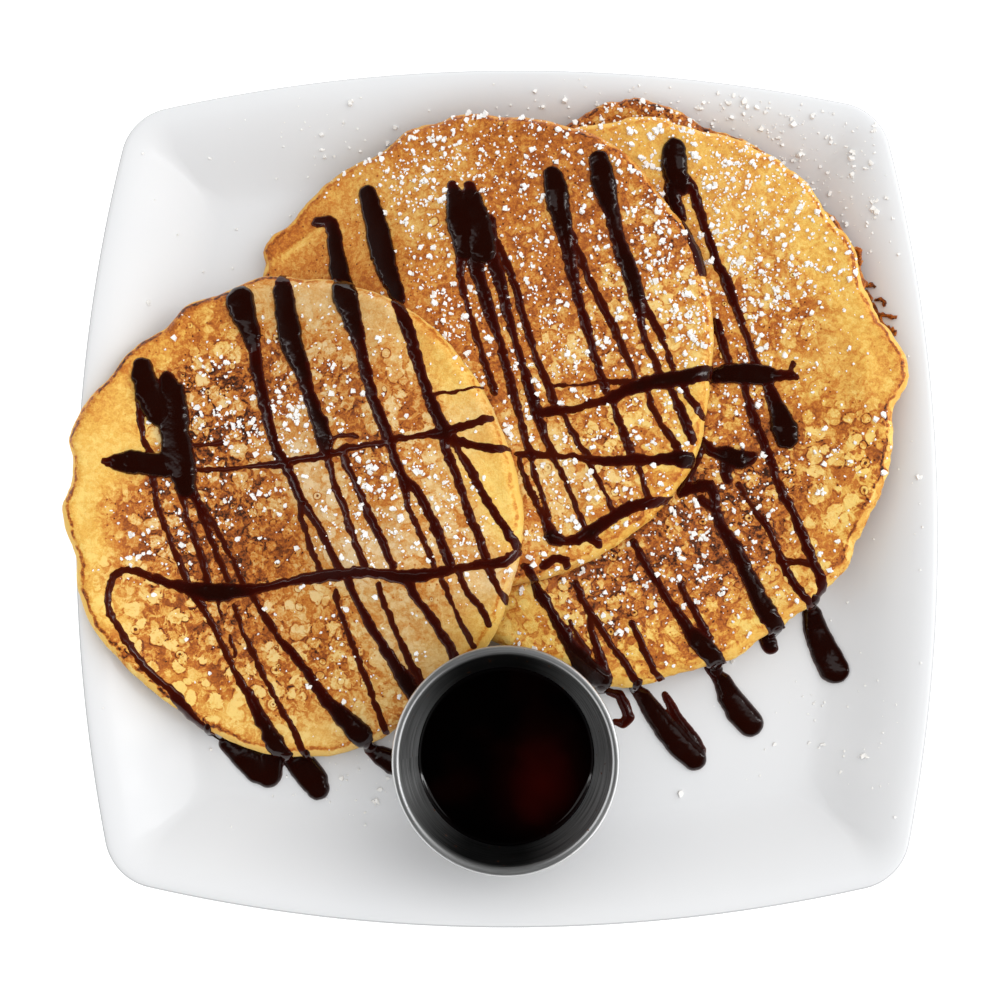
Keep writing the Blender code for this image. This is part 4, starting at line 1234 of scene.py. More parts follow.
# %% strands on the middle pancake
MIDDLE_SAUCE = [
    [(-52.2, 80, 4.2), (-51.2, 75.9, 5), (-50.5, 70.9, 5.5), (-49.8, 66.2, 6.6), (-48.6, 61, 7)],
    [(-56.7, 81.1, 3.6), (-53.8, 81.1, 4)],
    [(-41.2, 88.5, 5.6), (-40, 85.1, 6.3), (-38.6, 79.5, 6.6), (-37.3, 74, 7.4), (-36.2, 69.5, 7.6),
     (-35.1, 65.2, 6.8), (-33.5, 61, 5.8), (-32.1, 57.6, 5.2), (-31.2, 54.9, 4.6)],
    [(-15.3, 88.5, 2.8), (-14.3, 84.5, 6), (-13.3, 79.5, 8.4), (-12.3, 74.5, 8), (-11.4, 69, 6.4)],
    [(-10.1, 87.6, 3.4), (-9.7, 83, 7.4), (-8.7, 78.5, 8.4), (-7.3, 74, 8.6), (-6.2, 68.5, 8)],
    [(-3.6, 77, 3), (-3.8, 73, 4), (-3.4, 69, 3.4)],
    [(-12.4, 68.1, 3.4), (-12.8, 61.1, 2.6), (-11.3, 53.8, 2), (-9.3, 47.8, 2), (-7.8, 42.1, 2.2),
     (-6.1, 36.4, 2.4), (-4.1, 30.9, 2.6), (-2.8, 27.3, 2.6)],
    [(-8.9, 66.6, 4.6), (-6.9, 59.6, 4), (-5, 52.8, 3.9), (-3.3, 47, 3.2), (-1.2, 41.4, 2.7),
     (0.3, 35, 2.6), (1.7, 30, 2.6), (3, 25, 2.4), (4.6, 19.3, 2.4), (6.2, 13.6, 2.5),
     (7.4, 9.3, 2.4)],
    [(-4, 68.6, 3.4), (-1.4, 60.3, 3.8), (-0.1, 54.6, 3.6), (1.4, 48.5, 2.6), (3.1, 42.1, 2.4),
     (4.9, 36.4, 2.6), (6.6, 29.7, 3), (8.4, 24.3, 3.6), (10.2, 18.7, 3), (11.8, 13.7, 2.7),
     (13.6, 9.6, 2.4)],
    [(-1.6, 71, 2.4), (-0.4, 66.6, 2.4), (2.1, 61, 2.7), (4.2, 54.2, 2.8), (6.3, 46.5, 2.6),
     (8.1, 40.7, 2.4), (9.9, 35, 2.4), (12.3, 30, 2.6), (14, 24.7, 2.6), (15, 22.1, 2.4)],
    [(14.2, 89.3, 6.2), (15.2, 85.2, 7.3), (16.3, 79.5, 6.5), (17.4, 75.2, 5.5), (18.1, 70.9, 4.6),
     (18.9, 66.7, 4), (20.3, 59.6, 3.5), (22.3, 52, 2.9), (24.1, 44.9, 2.8), (25.9, 38.6, 2.6),
     (27.9, 32.1, 2.7), (29.4, 27.1, 2.8)],
    [(18.9, 73.5, 2.2), (20.5, 71.3, 2.4), (22.4, 66, 2.2), (24.6, 60.1, 2.2), (28.1, 52.8, 2.3),
     (31.5, 46.3, 2.5), (33.8, 40.7, 2.3), (35.9, 36.4, 2), (37.8, 31.2, 2)],
    [(27.6, 93.1, 6), (28.6, 88.8, 7.4), (29.6, 84.5, 6.7), (31.2, 78.8, 5), (32.4, 73.8, 4.4),
     (33.8, 68.9, 4.6), (35.5, 64.6, 4.9), (37.1, 59.6, 5), (38.7, 54.1, 4.9), (39.8, 48.5, 3.1),
     (40.3, 43.6, 2.4), (42.3, 38.4, 2.2), (45.2, 32.1, 2.4)],
    [(40.5, 52.6, 2.6), (41.7, 49.8, 2.4), (44.4, 44.8, 2.3), (46.6, 39.9, 2), (48.8, 33.7, 2.1)],
    [(8.9, 21.1, 2.4), (11.5, 20.7, 3), (15, 21.3, 3), (18.9, 21.5, 2.5), (23, 22.5, 2.2),
     (27.3, 23.6, 2.5), (31.6, 25, 3.4), (35.9, 27.1, 4), (40.2, 28.6, 4.6), (44.4, 29.6, 4.7),
     (48.7, 30, 4.9), (52.9, 30.7, 4.8), (57.3, 31.5, 4.6), (60.3, 31.9, 4.4)],
    [(13.9, 28.6, 1), (18, 28.9, 1.2), (23, 28.9, 1.3), (28.8, 29.6, 1.6), (33, 29.6, 1.8),
     (36.8, 29, 2.2)],
    [(3.3, 8.7, 1.6), (7.4, 8.5, 2.7), (11.7, 8.3, 2), (16, 8, 1.8), (20.2, 7.8, 1.9), (24.5, 6.7, 2.6),
     (28.8, 6.3, 3), (33, 6.6, 3.4), (37.3, 6.9, 3.2), (41.6, 6.7, 3), (45.8, 6.9, 3.6),
     (49.8, 7, 4.8), (53.4, 6.7, 5)],
    [(13.7, -15.4, 4.8), (17.4, -16.9, 2.6), (20.9, -16.2, 3.2), (24.7, -14.4, 4.6), (28, -11.9, 3.9),
     (31.6, -9.4, 3.5), (35.9, -7.2, 3.4), (40.2, -5.8, 3.4), (44.4, -5.2, 2.9), (47.9, -4.8, 2),
     (49.8, -4, 1.8)],
    [(25.4, -15.6, 3), (27.1, -17.5, 2.6)],
    [(17.2, 20.2, 2.2), (19.5, 15.4, 1.8), (21.6, 11.5, 1.8), (24.3, 8, 2)],
    [(31.7, 23.7, 2.4), (33, 18, 2.4), (35.1, 13, 2.6), (36.5, 9.3, 2.5)],
    [(41.3, 27.2, 2), (42.9, 22.1, 2), (45.1, 17.4, 2), (47.8, 13.6, 2.2), (50.2, 10.2, 2.5)],
    [(48.4, 27.2, 2.2), (50.8, 21.6, 2.8), (52.8, 16, 3.2), (54.6, 12.2, 2.8)],
    [(51.6, 28.2, 2.4), (54.6, 23.3, 2.4), (57.6, 19.3, 2.2)],
    [(4.2, 7.3, 1.6), (5.2, 4.1, 1.8), (6.8, -0.9, 2.3), (8.9, -5.2, 2), (11, -9.4, 2.2), (12.9, -13.1, 3)],
    [(7.8, 7.3, 2), (8.8, 2.7, 2), (10.2, -1.6, 1.5), (11.6, -5.8, 1.4), (12.6, -10.1, 2)],
    [(14.4, 7.3, 2), (16.6, 2.7, 1.8), (18.4, -1.6, 1.7), (20.9, -7.2, 1.8), (23.1, -12.1, 2.2)],
    [(24.9, 5.3, 1.9), (27.9, -0.7, 1.6), (30.2, -5.2, 1.8), (31.7, -8.1, 2)],
    [(38.7, 5.3, 1.8), (39.8, 1.2, 1.5), (41.4, -3.8, 1.8)],
    [(5.6, -23.7, 2.6), (7.2, -25.7, 3), (8.6, -27.7, 2.8)],
    [(11.3, -23.3, 2.8), (14.6, -21.6, 2.4), (17.4, -22.1, 2.8), (18.1, -23.9, 2)],
    [(53.2, 76.5, 2.6), (55, 71.5, 3.4), (56.6, 66.6, 4), (57.7, 61.6, 2.8)]]
print("middle strands", len(MIDDLE_SAUCE))

# %% strands on the right pancake and on the plate
RIGHT_SAUCE = [
    [(50, 98.2, 7), (49.9, 94.4, 7.9), (50.8, 90.5, 7.2), (52.6, 88, 5)],
    [(49.8, 91.5, 5), (49.6, 85.5, 5), (50.8, 81.5, 4.4), (52.1, 79, 3.6)],
    [(51.8, 90.5, 5), (55.8, 87, 3.2), (57.7, 80.9, 2.5), (59.4, 75.2, 2.3), (61.2, 70.2, 2.8),
     (63, 65.3, 3), (65.5, 60.3, 3.3), (67.2, 54.6, 3), (69.1, 49.7, 2.3), (70.9, 44.2, 2.2),
     (72.7, 38.6, 2.4), (74.1, 34.7, 3)],
    [(62.4, 47.6, 3.2), (63.2, 44.6, 3), (64.3, 41.2, 2.3), (65.7, 36.7, 2.4)],
    [(61.4, 32.1, 5), (64.9, 32.8, 6), (69.1, 32.5, 6.3), (73.4, 32.4, 6.3), (77.7, 32.1, 5.4),
     (81.3, 31.9, 3.4)],
    [(84.1, 35.3, 2), (83.7, 33.7, 1.2)], [(82.2, 31.9, 3), (83.6, 31.7, 3.2), (85.3, 31, 1.8)],
    [(77.3, 29.2, 3.4), (78.8, 24.3, 4.4), (80.4, 20, 6.3), (81.6, 16, 7.8), (82.5, 13.4, 6.6)],
    [(70.3, 29.7, 2), (72, 22.8, 2.5), (73.4, 17.9, 2.9), (75.5, 12.9, 3), (77.7, 6.8, 2.8),
     (79.8, 0.3, 2.6), (82.1, -5, 2.8), (84.7, -10, 2.8), (87, -15.5, 2.8), (89.1, -21.2, 3),
     (91.2, -26.2, 3.2), (92.4, -30.3, 3.4), (91.9, -33.6, 3)],
    [(58.3, 12.8, 2.6), (60.8, 10, 3.4), (64.8, 8.8, 5.4), (68.7, 7.4, 6), (72.1, 7.8, 3.6)],
    [(57.3, 10.8, 3), (55.8, 5.8, 2.2), (53.6, 1.3, 2.6), (51.8, -2.2, 3)],
    [(65.8, 7.8, 5), (64.8, 3.8, 3.6), (65.1, 1.8, 3)],
    [(52.8, -1.7, 3.2), (56.8, -0.2, 4), (60.3, -0.4, 3.6), (61.8, -3.7, 3.6), (61.6, -7.1, 3.4),
     (62.6, -10.6, 3.4), (64.3, -14.1, 3.7), (67.1, -18.6, 4.3), (69.7, -24.1, 4.7), (72, -28.7, 5),
     (74.1, -33.3, 5.5), (76.3, -37.3, 5.7), (78.6, -40.8, 5.4), (80.4, -43.5, 5.6)],
    [(57.3, -4.2, 2.6), (59.8, -5.8, 2.6)],
    [(68.1, 0.3, 1.5), (69.9, -3, 1.9), (72.9, -7.7, 1.7), (76.3, -12, 2.8), (78.5, -16.4, 2.1),
     (80.5, -21.4, 2.8), (82.2, -25.7, 2.9), (84.8, -29.8, 3), (87.7, -33.2, 3), (90.3, -36.3, 3)],
    [(80.3, -22.1, 2), (84.2, -22.5, 2), (88.3, -23.1, 2)],
    [(37.5, -16.7, 2.8), (40.3, -21.3, 2.4), (42.8, -25.5, 2.5), (45.5, -29.9, 2.6), (48.4, -34.7, 2.8),
     (51.2, -39, 3.2), (54.1, -43.2, 4.4), (56.9, -46.2, 5.8), (59.8, -49.3, 6), (62, -52.2, 5.8),
     (63, -54, 4.6)],
    [(51.5, -28.9, 2.4), (53.4, -33.3, 2.4), (55.5, -37, 2.4), (57.7, -41.3, 2.7), (59.2, -45, 3)],
    [(8.6, -28.7, 2.6), (10.4, -31.9, 3.8), (12.9, -35.4, 3.4), (15, -39.7, 3.7), (17.5, -44, 4),
     (19.9, -48.2, 4.6), (22.3, -51.3, 6), (25.1, -54.8, 7.4), (27.8, -57.3, 7)],
    [(18.8, -39.7, 1.2), (21.3, -44.7, 1.3), (24.2, -48.5, 2)],
    [(20.6, -28.7, 2.6), (22.8, -33.3, 2), (24.7, -37.6, 2), (25.1, -42.6, 2), (26.3, -46.3, 2.5),
     (28.1, -51.1, 2.9), (30.1, -55.9, 2.8)],
    [(24.5, -36.5, 2), (27.7, -41.1, 2), (30.6, -46.1, 2), (34.2, -50.6, 2.3), (37, -54.9, 2.5),
     (38.7, -57.9, 2.8)],
    [(36.8, -40, 2.2), (39.1, -44.7, 2), (41.3, -49.7, 2), (43.3, -54, 2), (45.8, -56.9, 1.6)]]
PLATE_SAUCE = [
    [(-83.6, -75.9, 5), (-78.7, -79.4, 8), (-73.7, -82.8, 10), (-71.2, -84.6, 8.6), (-70.2, -79.9, 8)],
    [(-63.7, -79.9, 7), (-60.2, -83.3, 8.6), (-57.3, -86.8, 8.6), (-56.2, -89, 7.2)],
    [(-40.8, -77.5, 3.4), (-37.3, -79.5, 6), (-33.8, -81.3, 7.4)],
    [(30.9, -60.5, 2.2), (34.1, -61.4, 3), (35.7, -64.7, 3.4), (36.8, -67.9, 3.4), (35.1, -69.9, 3),
     (32.5, -69.5, 2)],
    [(38.7, -59.5, 3.4), (41.3, -62.2, 5), (44.1, -66.4, 6.4), (47.7, -71.3, 7.4), (51.9, -76.3, 8),
     (56, -80.1, 7.6)],
    [(47.7, -61.5, 2.2), (49.4, -64.7, 3), (51.4, -68.9, 4), (54.8, -73.9, 5), (57.2, -77.9, 5)],
    [(77.4, -43.2, 4.5), (78.9, -45.9, 5.2), (79.4, -47.2, 4.8)],
    [(61.4, -53.2, 4), (62.8, -55.2, 4), (65, -57.7, 5.6), (66.9, -61.9, 7.4), (69.7, -66.3, 8.4),
     (72.7, -69.8, 8.4)],
    [(92.1, -37.6, 6), (92.8, -42, 7.4), (94.4, -46, 8.2), (96, -50, 8.6), (97.8, -53.8, 8.6)]]
print("right strands", len(RIGHT_SAUCE), "and pools on the plate", len(PLATE_SAUCE))

# %% [markdown]
# ## Chocolate sauce: the bodies
# For every place on a fine grid the nearest strand says how far inside the sauce it is. Where two
# strands meet, a soft maximum fills the corner between them, as surface tension does. The depth
# is a rounded bank that grows with the width. DRY stands for no sauce at all, a point deeper in
# than WET belongs to the body, and points down to SHORE are drawn onto the outline.

# %% sauce bodies
SAUCE_CELL = 0.36
JOIN = 0.7
OVERHANG = 0.5
MARGIN = 7
DRY = -5.0
WET = 0.12
SHORE = -0.62
BOUNDLESS = 50.0
GROUND_ROUNDS = 5
LEVEL_ROUNDS = 24


def from_stretch(px, py, start, end):
    """Distance from one stretch of a strand's middle line, and the strand's size there."""
    ax, ay, size = start
    bx, by, end_size = end
    length = max((bx - ax) ** 2 + (by - ay) ** 2, 1e-6)
    t = np.clip(((px - ax) * (bx - ax) + (py - ay) * (by - ay)) / length, 0.0, 1.0)
    away = np.hypot(px - ax - (bx - ax) * t, py - ay - (by - ay) * t)
    return away, size + (end_size - size) * t


def sauce_height(inside, half):
    """Height of the sauce in millimetres: thin on thin strands, and banked with a low dome."""
    bank = np.minimum(0.9 * half, 1.6)
    crest = np.minimum(0.30 * half + 0.055 * half ** 2, 1.9)
    share = np.clip(inside / np.maximum(bank, 0.3), 0.0, 1.0)
    dome = np.clip(inside / np.maximum(half, 0.3), 0.0, 1.0)
    return crest * (0.78 * np.sqrt(1.0 - (1.0 - share) ** 2) + 0.22 * dome * (2.0 - dome))


def poured(strands, seed, layer):
    """The grid, the distance inside the sauce and the sauce's height, in millimetres.

    Sauce wanders more on rough batter than on the smooth plate.
    """
    rough = 1.0 if layer else 0.4
    every = np.array([row for strand in strands for row in strand])
    x = np.arange(every[:, 0].min() - MARGIN, every[:, 0].max() + MARGIN, SAUCE_CELL)
    y = np.arange(every[:, 1].min() - MARGIN, every[:, 1].max() + MARGIN, SAUCE_CELL)
    x, y = np.meshgrid(x, y)
    warp_x = x + rough * (0.28 * hills(x, y, 2.6, seed) + 0.20 * hills(x, y, 1.1, seed + 1))
    warp_y = y + rough * (0.28 * hills(x, y, 2.6, seed + 2) + 0.20 * hills(x, y, 1.1, seed + 3))
    ragged = rough * (0.24 * hills(x, y, 1.4, seed + 4) + 0.20 * hills(x, y, 3.4, seed + 5))
    depth = np.full(x.shape, DRY)
    height = np.zeros(x.shape)
    room = inset_of(layer, x * MM, y * MM) / MM + OVERHANG if layer else np.full(x.shape, BOUNDLESS)
    for strand in strands:
        rows = np.array(strand, float)
        rows[:, 2] *= 0.5
        low = rows[:, :2].min(axis=0) - MARGIN - 1
        high = rows[:, :2].max(axis=0) + MARGIN + 1
        i0, i1 = np.searchsorted(x[0], (low[0], high[0]))
        j0, j1 = np.searchsorted(y[:, 0], (low[1], high[1]))
        px = warp_x[j0:j1, i0:i1]
        py = warp_y[j0:j1, i0:i1]
        own = np.full(px.shape, DRY)
        wide = np.full(px.shape, 1.0)
        for start, end in zip(rows, rows[1:]):
            away, radius = from_stretch(px, py, start, end)
            inside = radius - away
            wide = np.where(inside > own, radius, wide)
            own = np.maximum(own, inside)
        own = own + ragged[j0:j1, i0:i1] * np.clip(1.5 / wide, 0.45, 1.0)
        own = np.minimum(own, room[j0:j1, i0:i1])
        old = depth[j0:j1, i0:i1]
        share = np.clip(0.5 + 0.5 * (own - old) / JOIN, 0.0, 1.0)
        depth[j0:j1, i0:i1] = old + (own - old) * share + JOIN * share * (1 - share)
        crest = sauce_height(own, wide)
        under = height[j0:j1, i0:i1]
        share = np.clip(0.5 + 0.5 * (crest - under) / 0.5, 0.0, 1.0)
        height[j0:j1, i0:i1] = under + (crest - under) * share + 0.25 * share * (1 - share)
    filled = 0.30 * np.sqrt(np.clip(depth / 0.7, 0.0, 1.0))
    return x, y, depth, np.where(depth > 0.0, np.maximum(height, filled), 0.0)


def ground_of(layer):
    """Height grids of what a body of sauce lies on: close by, and evened out for deep sauce."""
    x, y = np.meshgrid(FINE_X, FINE_Y)
    if layer:
        inset = np.maximum(inset_of(layer, x, y), 0.0)
        ground = read_grid(layer["sheet"], x, y, CLOSE_CELL) + PANCAKE_THICKNESS * shoulder(inset)
        ground += relief(layer, x, y, inset)
    else:
        ground = wall_height(rim_inset(x, y))
    ground = np.maximum(ground, rounded(ground, GROUND_ROUNDS))
    return ground, rounded(ground, LEVEL_ROUNDS)


print("sauce grid step", SAUCE_CELL, "mm")

# %% [markdown]
# Each body takes the grid's points that are wet. It is closed below, just under what it lies on,
# and with a low wall all round. Chocolate is a glossy brown that is black where it is deep.

# %% one closed body of sauce
def make_sauce(name, strands, skin, seed, layer=None):
    """One closed body of sauce on a pancake, or on the plate."""
    x, y, inside, crest = poured(strands, seed, layer)
    sauce_ground, sauce_level = ground_of(layer)
    slope_y, slope_x = np.gradient(inside, SAUCE_CELL)
    steep = np.maximum(slope_x ** 2 + slope_y ** 2, 0.25)
    near = (inside < WET) & (inside > SHORE)
    step = np.where(near, -inside / steep, 0.0)
    x = x + slope_x * step
    y = y + slope_y * step
    wet = inside > WET
    quads = wet[:-1, :-1] | wet[1:, :-1] | wet[:-1, 1:] | wet[1:, 1:]
    rows, columns = np.nonzero(quads)
    wide = x.shape[1]
    corner = rows * wide + columns
    faces = np.column_stack([corner, corner + 1, corner + wide + 1, corner + wide])
    used, place = np.unique(faces, return_inverse=True)
    faces = place.reshape(-1, 4)
    px = x.ravel()[used]
    py = y.ravel()[used]
    rise = np.where(wet.ravel()[used], crest.ravel()[used], 0.0)
    ground = read_grid(sauce_ground, px * MM, py * MM, CLOSE_CELL)
    level = read_grid(sauce_level, px * MM, py * MM, CLOSE_CELL)
    share = np.clip(rise / 0.7, 0.0, 1.0)
    height = np.maximum(ground * (1.0 - share) + level * share + rise * MM, ground + 0.00005)
    top = np.column_stack([px * MM, py * MM, height])
    low = np.column_stack([px * MM, py * MM, ground - 0.0004])
    count = len(used)
    borders = {}
    for a, b in ((0, 1), (1, 2), (2, 3), (3, 0)):
        for start, end in zip(faces[:, a].tolist(), faces[:, b].tolist()):
            if (end, start) in borders:
                del borders[(end, start)]
            else:
                borders[(start, end)] = True
    walls = [(end, start, start + count, end + count) for start, end in borders]
    made = solid(name, np.vstack([top, low]), faces.tolist() + (faces[:, ::-1] + count).tolist() + walls,
                 skin, {"rise": np.concatenate([rise, np.zeros(count)])})
    print(name, len(made.data.polygons), "faces, crest", round(float(rise.max()), 2), "mm")
    keep(made)


def chocolate():
    """Glossy, almost black where deep, and red-brown where it thins at the edge."""
    made, tree, shader, place = surface("chocolate_sauce")
    drift = grain(tree, place, 0.004, 2.0)
    deep = scaled(tree, minus(tree, drift, 0.5), 0.25, painted(tree, "rise"))
    colour = ramp(tree, times(tree, deep, 0.6),
                  [(0.0, (0.13, 0.026, 0.005)), (0.10, (0.062, 0.0075, 0.0016)),
                   (0.28, (0.036, 0.0022, 0.0006)), (0.62, (0.0130, 0.0020, 0.0008))])
    rough = between(tree, drift, 0.3, 0.7, 0.09, 0.15)
    shader.inputs["Specular IOR Level"].default_value = 0.5
    dress(tree, shader, colour, rough, grain(tree, place, 0.0015, 1.0), 0.00004)
    return made


cocoa = chocolate()
make_sauce("sauce_front_upper", FRONT_SAUCE, cocoa, 61, LAYERS["front"])
make_sauce("sauce_front_lower", FRONT_SAUCE_LOW, cocoa, 62, LAYERS["front"])
make_sauce("sauce_middle", MIDDLE_SAUCE, cocoa, 63, LAYERS["middle"])
make_sauce("sauce_right", RIGHT_SAUCE, cocoa, 64, LAYERS["right"])
make_sauce("sauce_pools", PLATE_SAUCE, cocoa, 65)

# %% [markdown]
# ## Chocolate sauce: where it ran over the edge
# Some strands ran on down the rounded side of the batter into the pools on the plate. Each run
# is a short flat tube along a bent path: in from the edge, over it, down the side and out into
# the pool. A height grid can't carry such a steep drop cleanly, so these are swept instead.

# %% runs over the edges
RUNS = [("front", -88.2, -71.6, 2.8, -84.6, -75.6), ("front", -64.9, -78.9, 5.0, -63.2, -81.2),
        ("front", -58.6, -79.5, 2.4, -60.0, -82.6), ("front", -41.4, -74.4, 4.4, -39.4, -78.6),
        ("right", 80.2, -43.0, 4.6, 78.9, -46.2), ("right", 62.6, -52.6, 4.4, 63.6, -56.4),
        ("right", 91.2, -34.6, 4.2, 92.3, -39.2), ("right", 38.6, -57.6, 3.2, 39.9, -61.0),
        ("right", 28.6, -57.0, 4.0, 31.6, -60.9)]
RUN_STEPS = 26
RUN_SIDES = 16
RUN_THICKNESS = 0.0022


def run_path(layer, x, y, pool_x, pool_y):
    """Places along one run, from the batter over its edge to the pool, and its sideways axis."""
    middle = np.array(layer["middle"]) * MM
    way = np.array([x, y]) * MM - middle
    turn = np.arctan2(way[1:], way[:1])
    way = way / np.hypot(*way)
    edge = middle + way * edge_reach(layer, turn)
    inset = np.array([2.6, 1.8, 1.1, 0.5, 0.15]) * MM
    over = edge - inset[:, None] * way
    height = top_of(layer, over[:, 0], over[:, 1]) - 0.0003
    foot = float(read_grid(layer["sheet"], edge[:1], edge[1:], CLOSE_CELL)[0])
    pool = np.array([pool_x, pool_y]) * MM
    floor = float(wall_height(rim_inset(pool[:1], pool[1:]))[0])
    side = foot + 0.20 * PANCAKE_THICKNESS
    down = [(*(edge + way * 0.0003), side), (*(edge + way * 0.0006), (side + floor) / 2),
            (*(edge + way * 0.0014), floor + 0.0006), (*pool, floor + 0.0004)]
    path = np.vstack([np.column_stack([over, height]), down])
    length = np.concatenate([[0.0], np.cumsum(np.linalg.norm(np.diff(path, axis=0), axis=1))])
    steps = np.linspace(0.0, length[-1], RUN_STEPS)
    path = np.column_stack([np.interp(steps, length, path[:, k]) for k in range(3)])
    for _ in range(3):
        path[1:-1] = (path[:-2] + 2.0 * path[1:-1] + path[2:]) / 4.0
    return path, np.array([-way[1], way[0], 0.0])


def run_tube(name, x, y, width, pool_x, pool_y):
    """Points and faces of one run: a closed flat tube, narrower in the middle."""
    path, sideways = run_path(LAYERS[name], x, y, pool_x, pool_y)
    ahead = np.gradient(path, axis=0)
    ahead /= np.linalg.norm(ahead, axis=1)[:, None]
    share = np.linspace(0.0, 1.0, RUN_STEPS)
    size = np.sqrt(np.clip(np.minimum(share, 1.0 - share) / 0.14, 0.02, 1.0))
    half = size * (1.0 - 0.30 * np.sin(math.pi * share) ** 2) * width * MM / 2
    thick = size * RUN_THICKNESS / 2
    angle = np.linspace(0.0, 2.0 * math.pi, RUN_SIDES, endpoint=False)[:, None]
    across = sideways * np.cos(angle)
    rings = [place + across * half[k] + np.cross(ahead[k], sideways) * np.sin(angle) * thick[k]
             for k, place in enumerate(path)]
    return rings_mesh(rings, path[0], path[-1])


points, faces = joined([run_tube(*row) for row in RUNS])
runs = solid("sauce_runs", points, faces, cocoa, {"rise": np.full(len(points), 0.9)})
keep(runs)
print("sauce_runs", len(faces), "faces in", len(RUNS), "runs")

# %% [markdown]
# ## Sugar
# Icing sugar was shaken over the plate through a coarse sieve, so it lies in small clumps. A
# Geometry Nodes tree scatters low lumps of eight shapes over a sheet that lies on the food. A value
# on the sheet says how thick the dusting is, and it is nothing on the sauce, poured later.

# %% the dusting sheet
PLATE_DUST = [(60, 118, .5), (80, 112, .6), (100, 100, .5), (85, 95, .3), (112, 85, .3),
              (-45, 108, .12), (-60, 100, .10), (0, 121, .2), (30, 121, .4), (104, -72, .12),
              (88, -76, .12), (62, -58, .06), (-45, -84, .25), (-36, -90, .15), (118, 0, .08)]
STRETCH_REACH = 12
SUGAR_GAP = 0.3
SHEET_CELL = 0.0008
STEEP = 1.2


def sugar_skin():
    """White sugar, a little warmer and greyer in random patches."""
    made, tree, shader, place = surface("icing_sugar")
    tone = ramp(tree, grain(tree, place, 0.0012, 2.0),
                [(0.3, (0.88, 0.86, 0.82)), (0.7, (0.96, 0.955, 0.94))])
    rough = between(tree, grain(tree, place, 0.0006), 0.3, 0.7, 0.7, 0.9)
    dress(tree, shader, tone, rough, grain(tree, place, 0.0003, 1.0), 0.0001)
    return made


def sugar_amount(x, y):
    """How thickly sugar lies at each place, from 0 to 1."""
    best = np.full(x.shape, -1.0)
    amount = np.zeros(x.shape)
    for layer in LAYERS.values():
        there = top_of(layer, x, y)
        amount = np.where(there > best, looks_at(layer["look"], x, y)[3], amount)
        best = np.maximum(best, there)
    bare = best < 0.0
    plain = np.full(x.shape, 0.004)
    for px, py, much in PLATE_DUST:
        plain += much * 0.5 * np.exp(-((x / MM - px) ** 2 + (y / MM - py) ** 2) / 180.0)
    amount = np.where(bare, plain, amount)
    for strands in (FRONT_SAUCE, FRONT_SAUCE_LOW, MIDDLE_SAUCE, RIGHT_SAUCE, PLATE_SAUCE):
        for strand in strands:
            rows = np.array(strand, float)
            for start, end in zip(rows, rows[1:]):
                middle = (start + end) / 2
                near = np.maximum(np.abs(x / MM - middle[0]), np.abs(y / MM - middle[1])) < STRETCH_REACH
                away, width = from_stretch(x[near] / MM, y[near] / MM, start, end)
                amount[near] = np.where(away < width / 2 + SUGAR_GAP, 0.0, amount[near])
    pot_gap = np.hypot(x - POT_CENTRE[0], y - POT_CENTRE[1])
    return np.where(pot_gap < POT_MOUTH_RADIUS + 0.002, 0.0, amount)


def dusting_sheet():
    """A sheet over the food and the plate's floor that carries the amount of sugar."""
    x, y = np.meshgrid(np.arange(-0.126, 0.1265, SHEET_CELL), np.arange(-0.100, 0.1245, SHEET_CELL))
    height = stack_top(x, y)
    steep_y, steep_x = np.gradient(height, SHEET_CELL)
    amount = sugar_amount(x, y)
    amount = np.where(np.hypot(steep_x, steep_y) > STEEP, 0.0, amount)
    amount = np.where(rim_inset(x, y) < 0.003, 0.0, amount)
    count = x.shape[1]
    corner = (np.arange(x.shape[0] - 1)[:, None] * count + np.arange(count - 1)).ravel()
    faces = np.column_stack([corner, corner + 1, corner + count + 1, corner + count])
    full = amount.ravel()[faces].max(axis=1) > 0.003
    faces = faces[full]
    used, place = np.unique(faces, return_inverse=True)
    points = np.column_stack([x.ravel(), y.ravel(), height.ravel()])[used]
    return solid("dusting", points, place.reshape(-1, 4).tolist(), sugar_skin(),
                 {"amount": amount.ravel()[used]})


print("dusting places on the plate", len(PLATE_DUST))

# %% [markdown]
# The lumps are angular flakes with a few faces each, because there will be thousands of them.

# %% sugar lumps
LUMP_FLAKES = (1, 1, 1, 2, 2, 3, 1, 4)


def sugar_lump(name, flakes, seed):
    """A crumb of caked sugar: one flat angular flake, or a few that lean on each other."""
    dice = np.random.default_rng(seed)
    shape = bmesh.new()
    for k in range(flakes):
        corners = int(dice.integers(4, 7))
        turn = np.sort(dice.uniform(0.0, 1.0, corners) * 0.55 + np.arange(corners)) / corners * 2 * math.pi
        reach = dice.uniform(0.34, 0.56, corners) * (1.0 if flakes == 1 else 0.72)
        away = 0.0 if k == 0 else 0.38
        side = dice.uniform(0.0, 2 * math.pi)
        middle = (away * math.cos(side), away * math.sin(side))
        thick = dice.uniform(0.22, 0.34)
        tilt = dice.uniform(-0.22, 0.22, 2)
        rings = []
        for height, share in ((-0.05, 1.0), (thick, 0.86)):
            ring = []
            for angle, radius in zip(turn, reach):
                x = middle[0] + radius * share * math.cos(angle)
                y = middle[1] + radius * share * math.sin(angle)
                ring.append(shape.verts.new((x, y, height + tilt[0] * x + tilt[1] * y)))
            rings.append(ring)
        shape.faces.new(rings[0][::-1])
        shape.faces.new(rings[1])
        for a in range(corners):
            b = (a + 1) % corners
            shape.faces.new((rings[0][a], rings[0][b], rings[1][b], rings[1][a]))
    mesh = bpy.data.meshes.new(name)
    shape.to_mesh(mesh)
    shape.free()
    return bpy.data.objects.new(name, mesh)


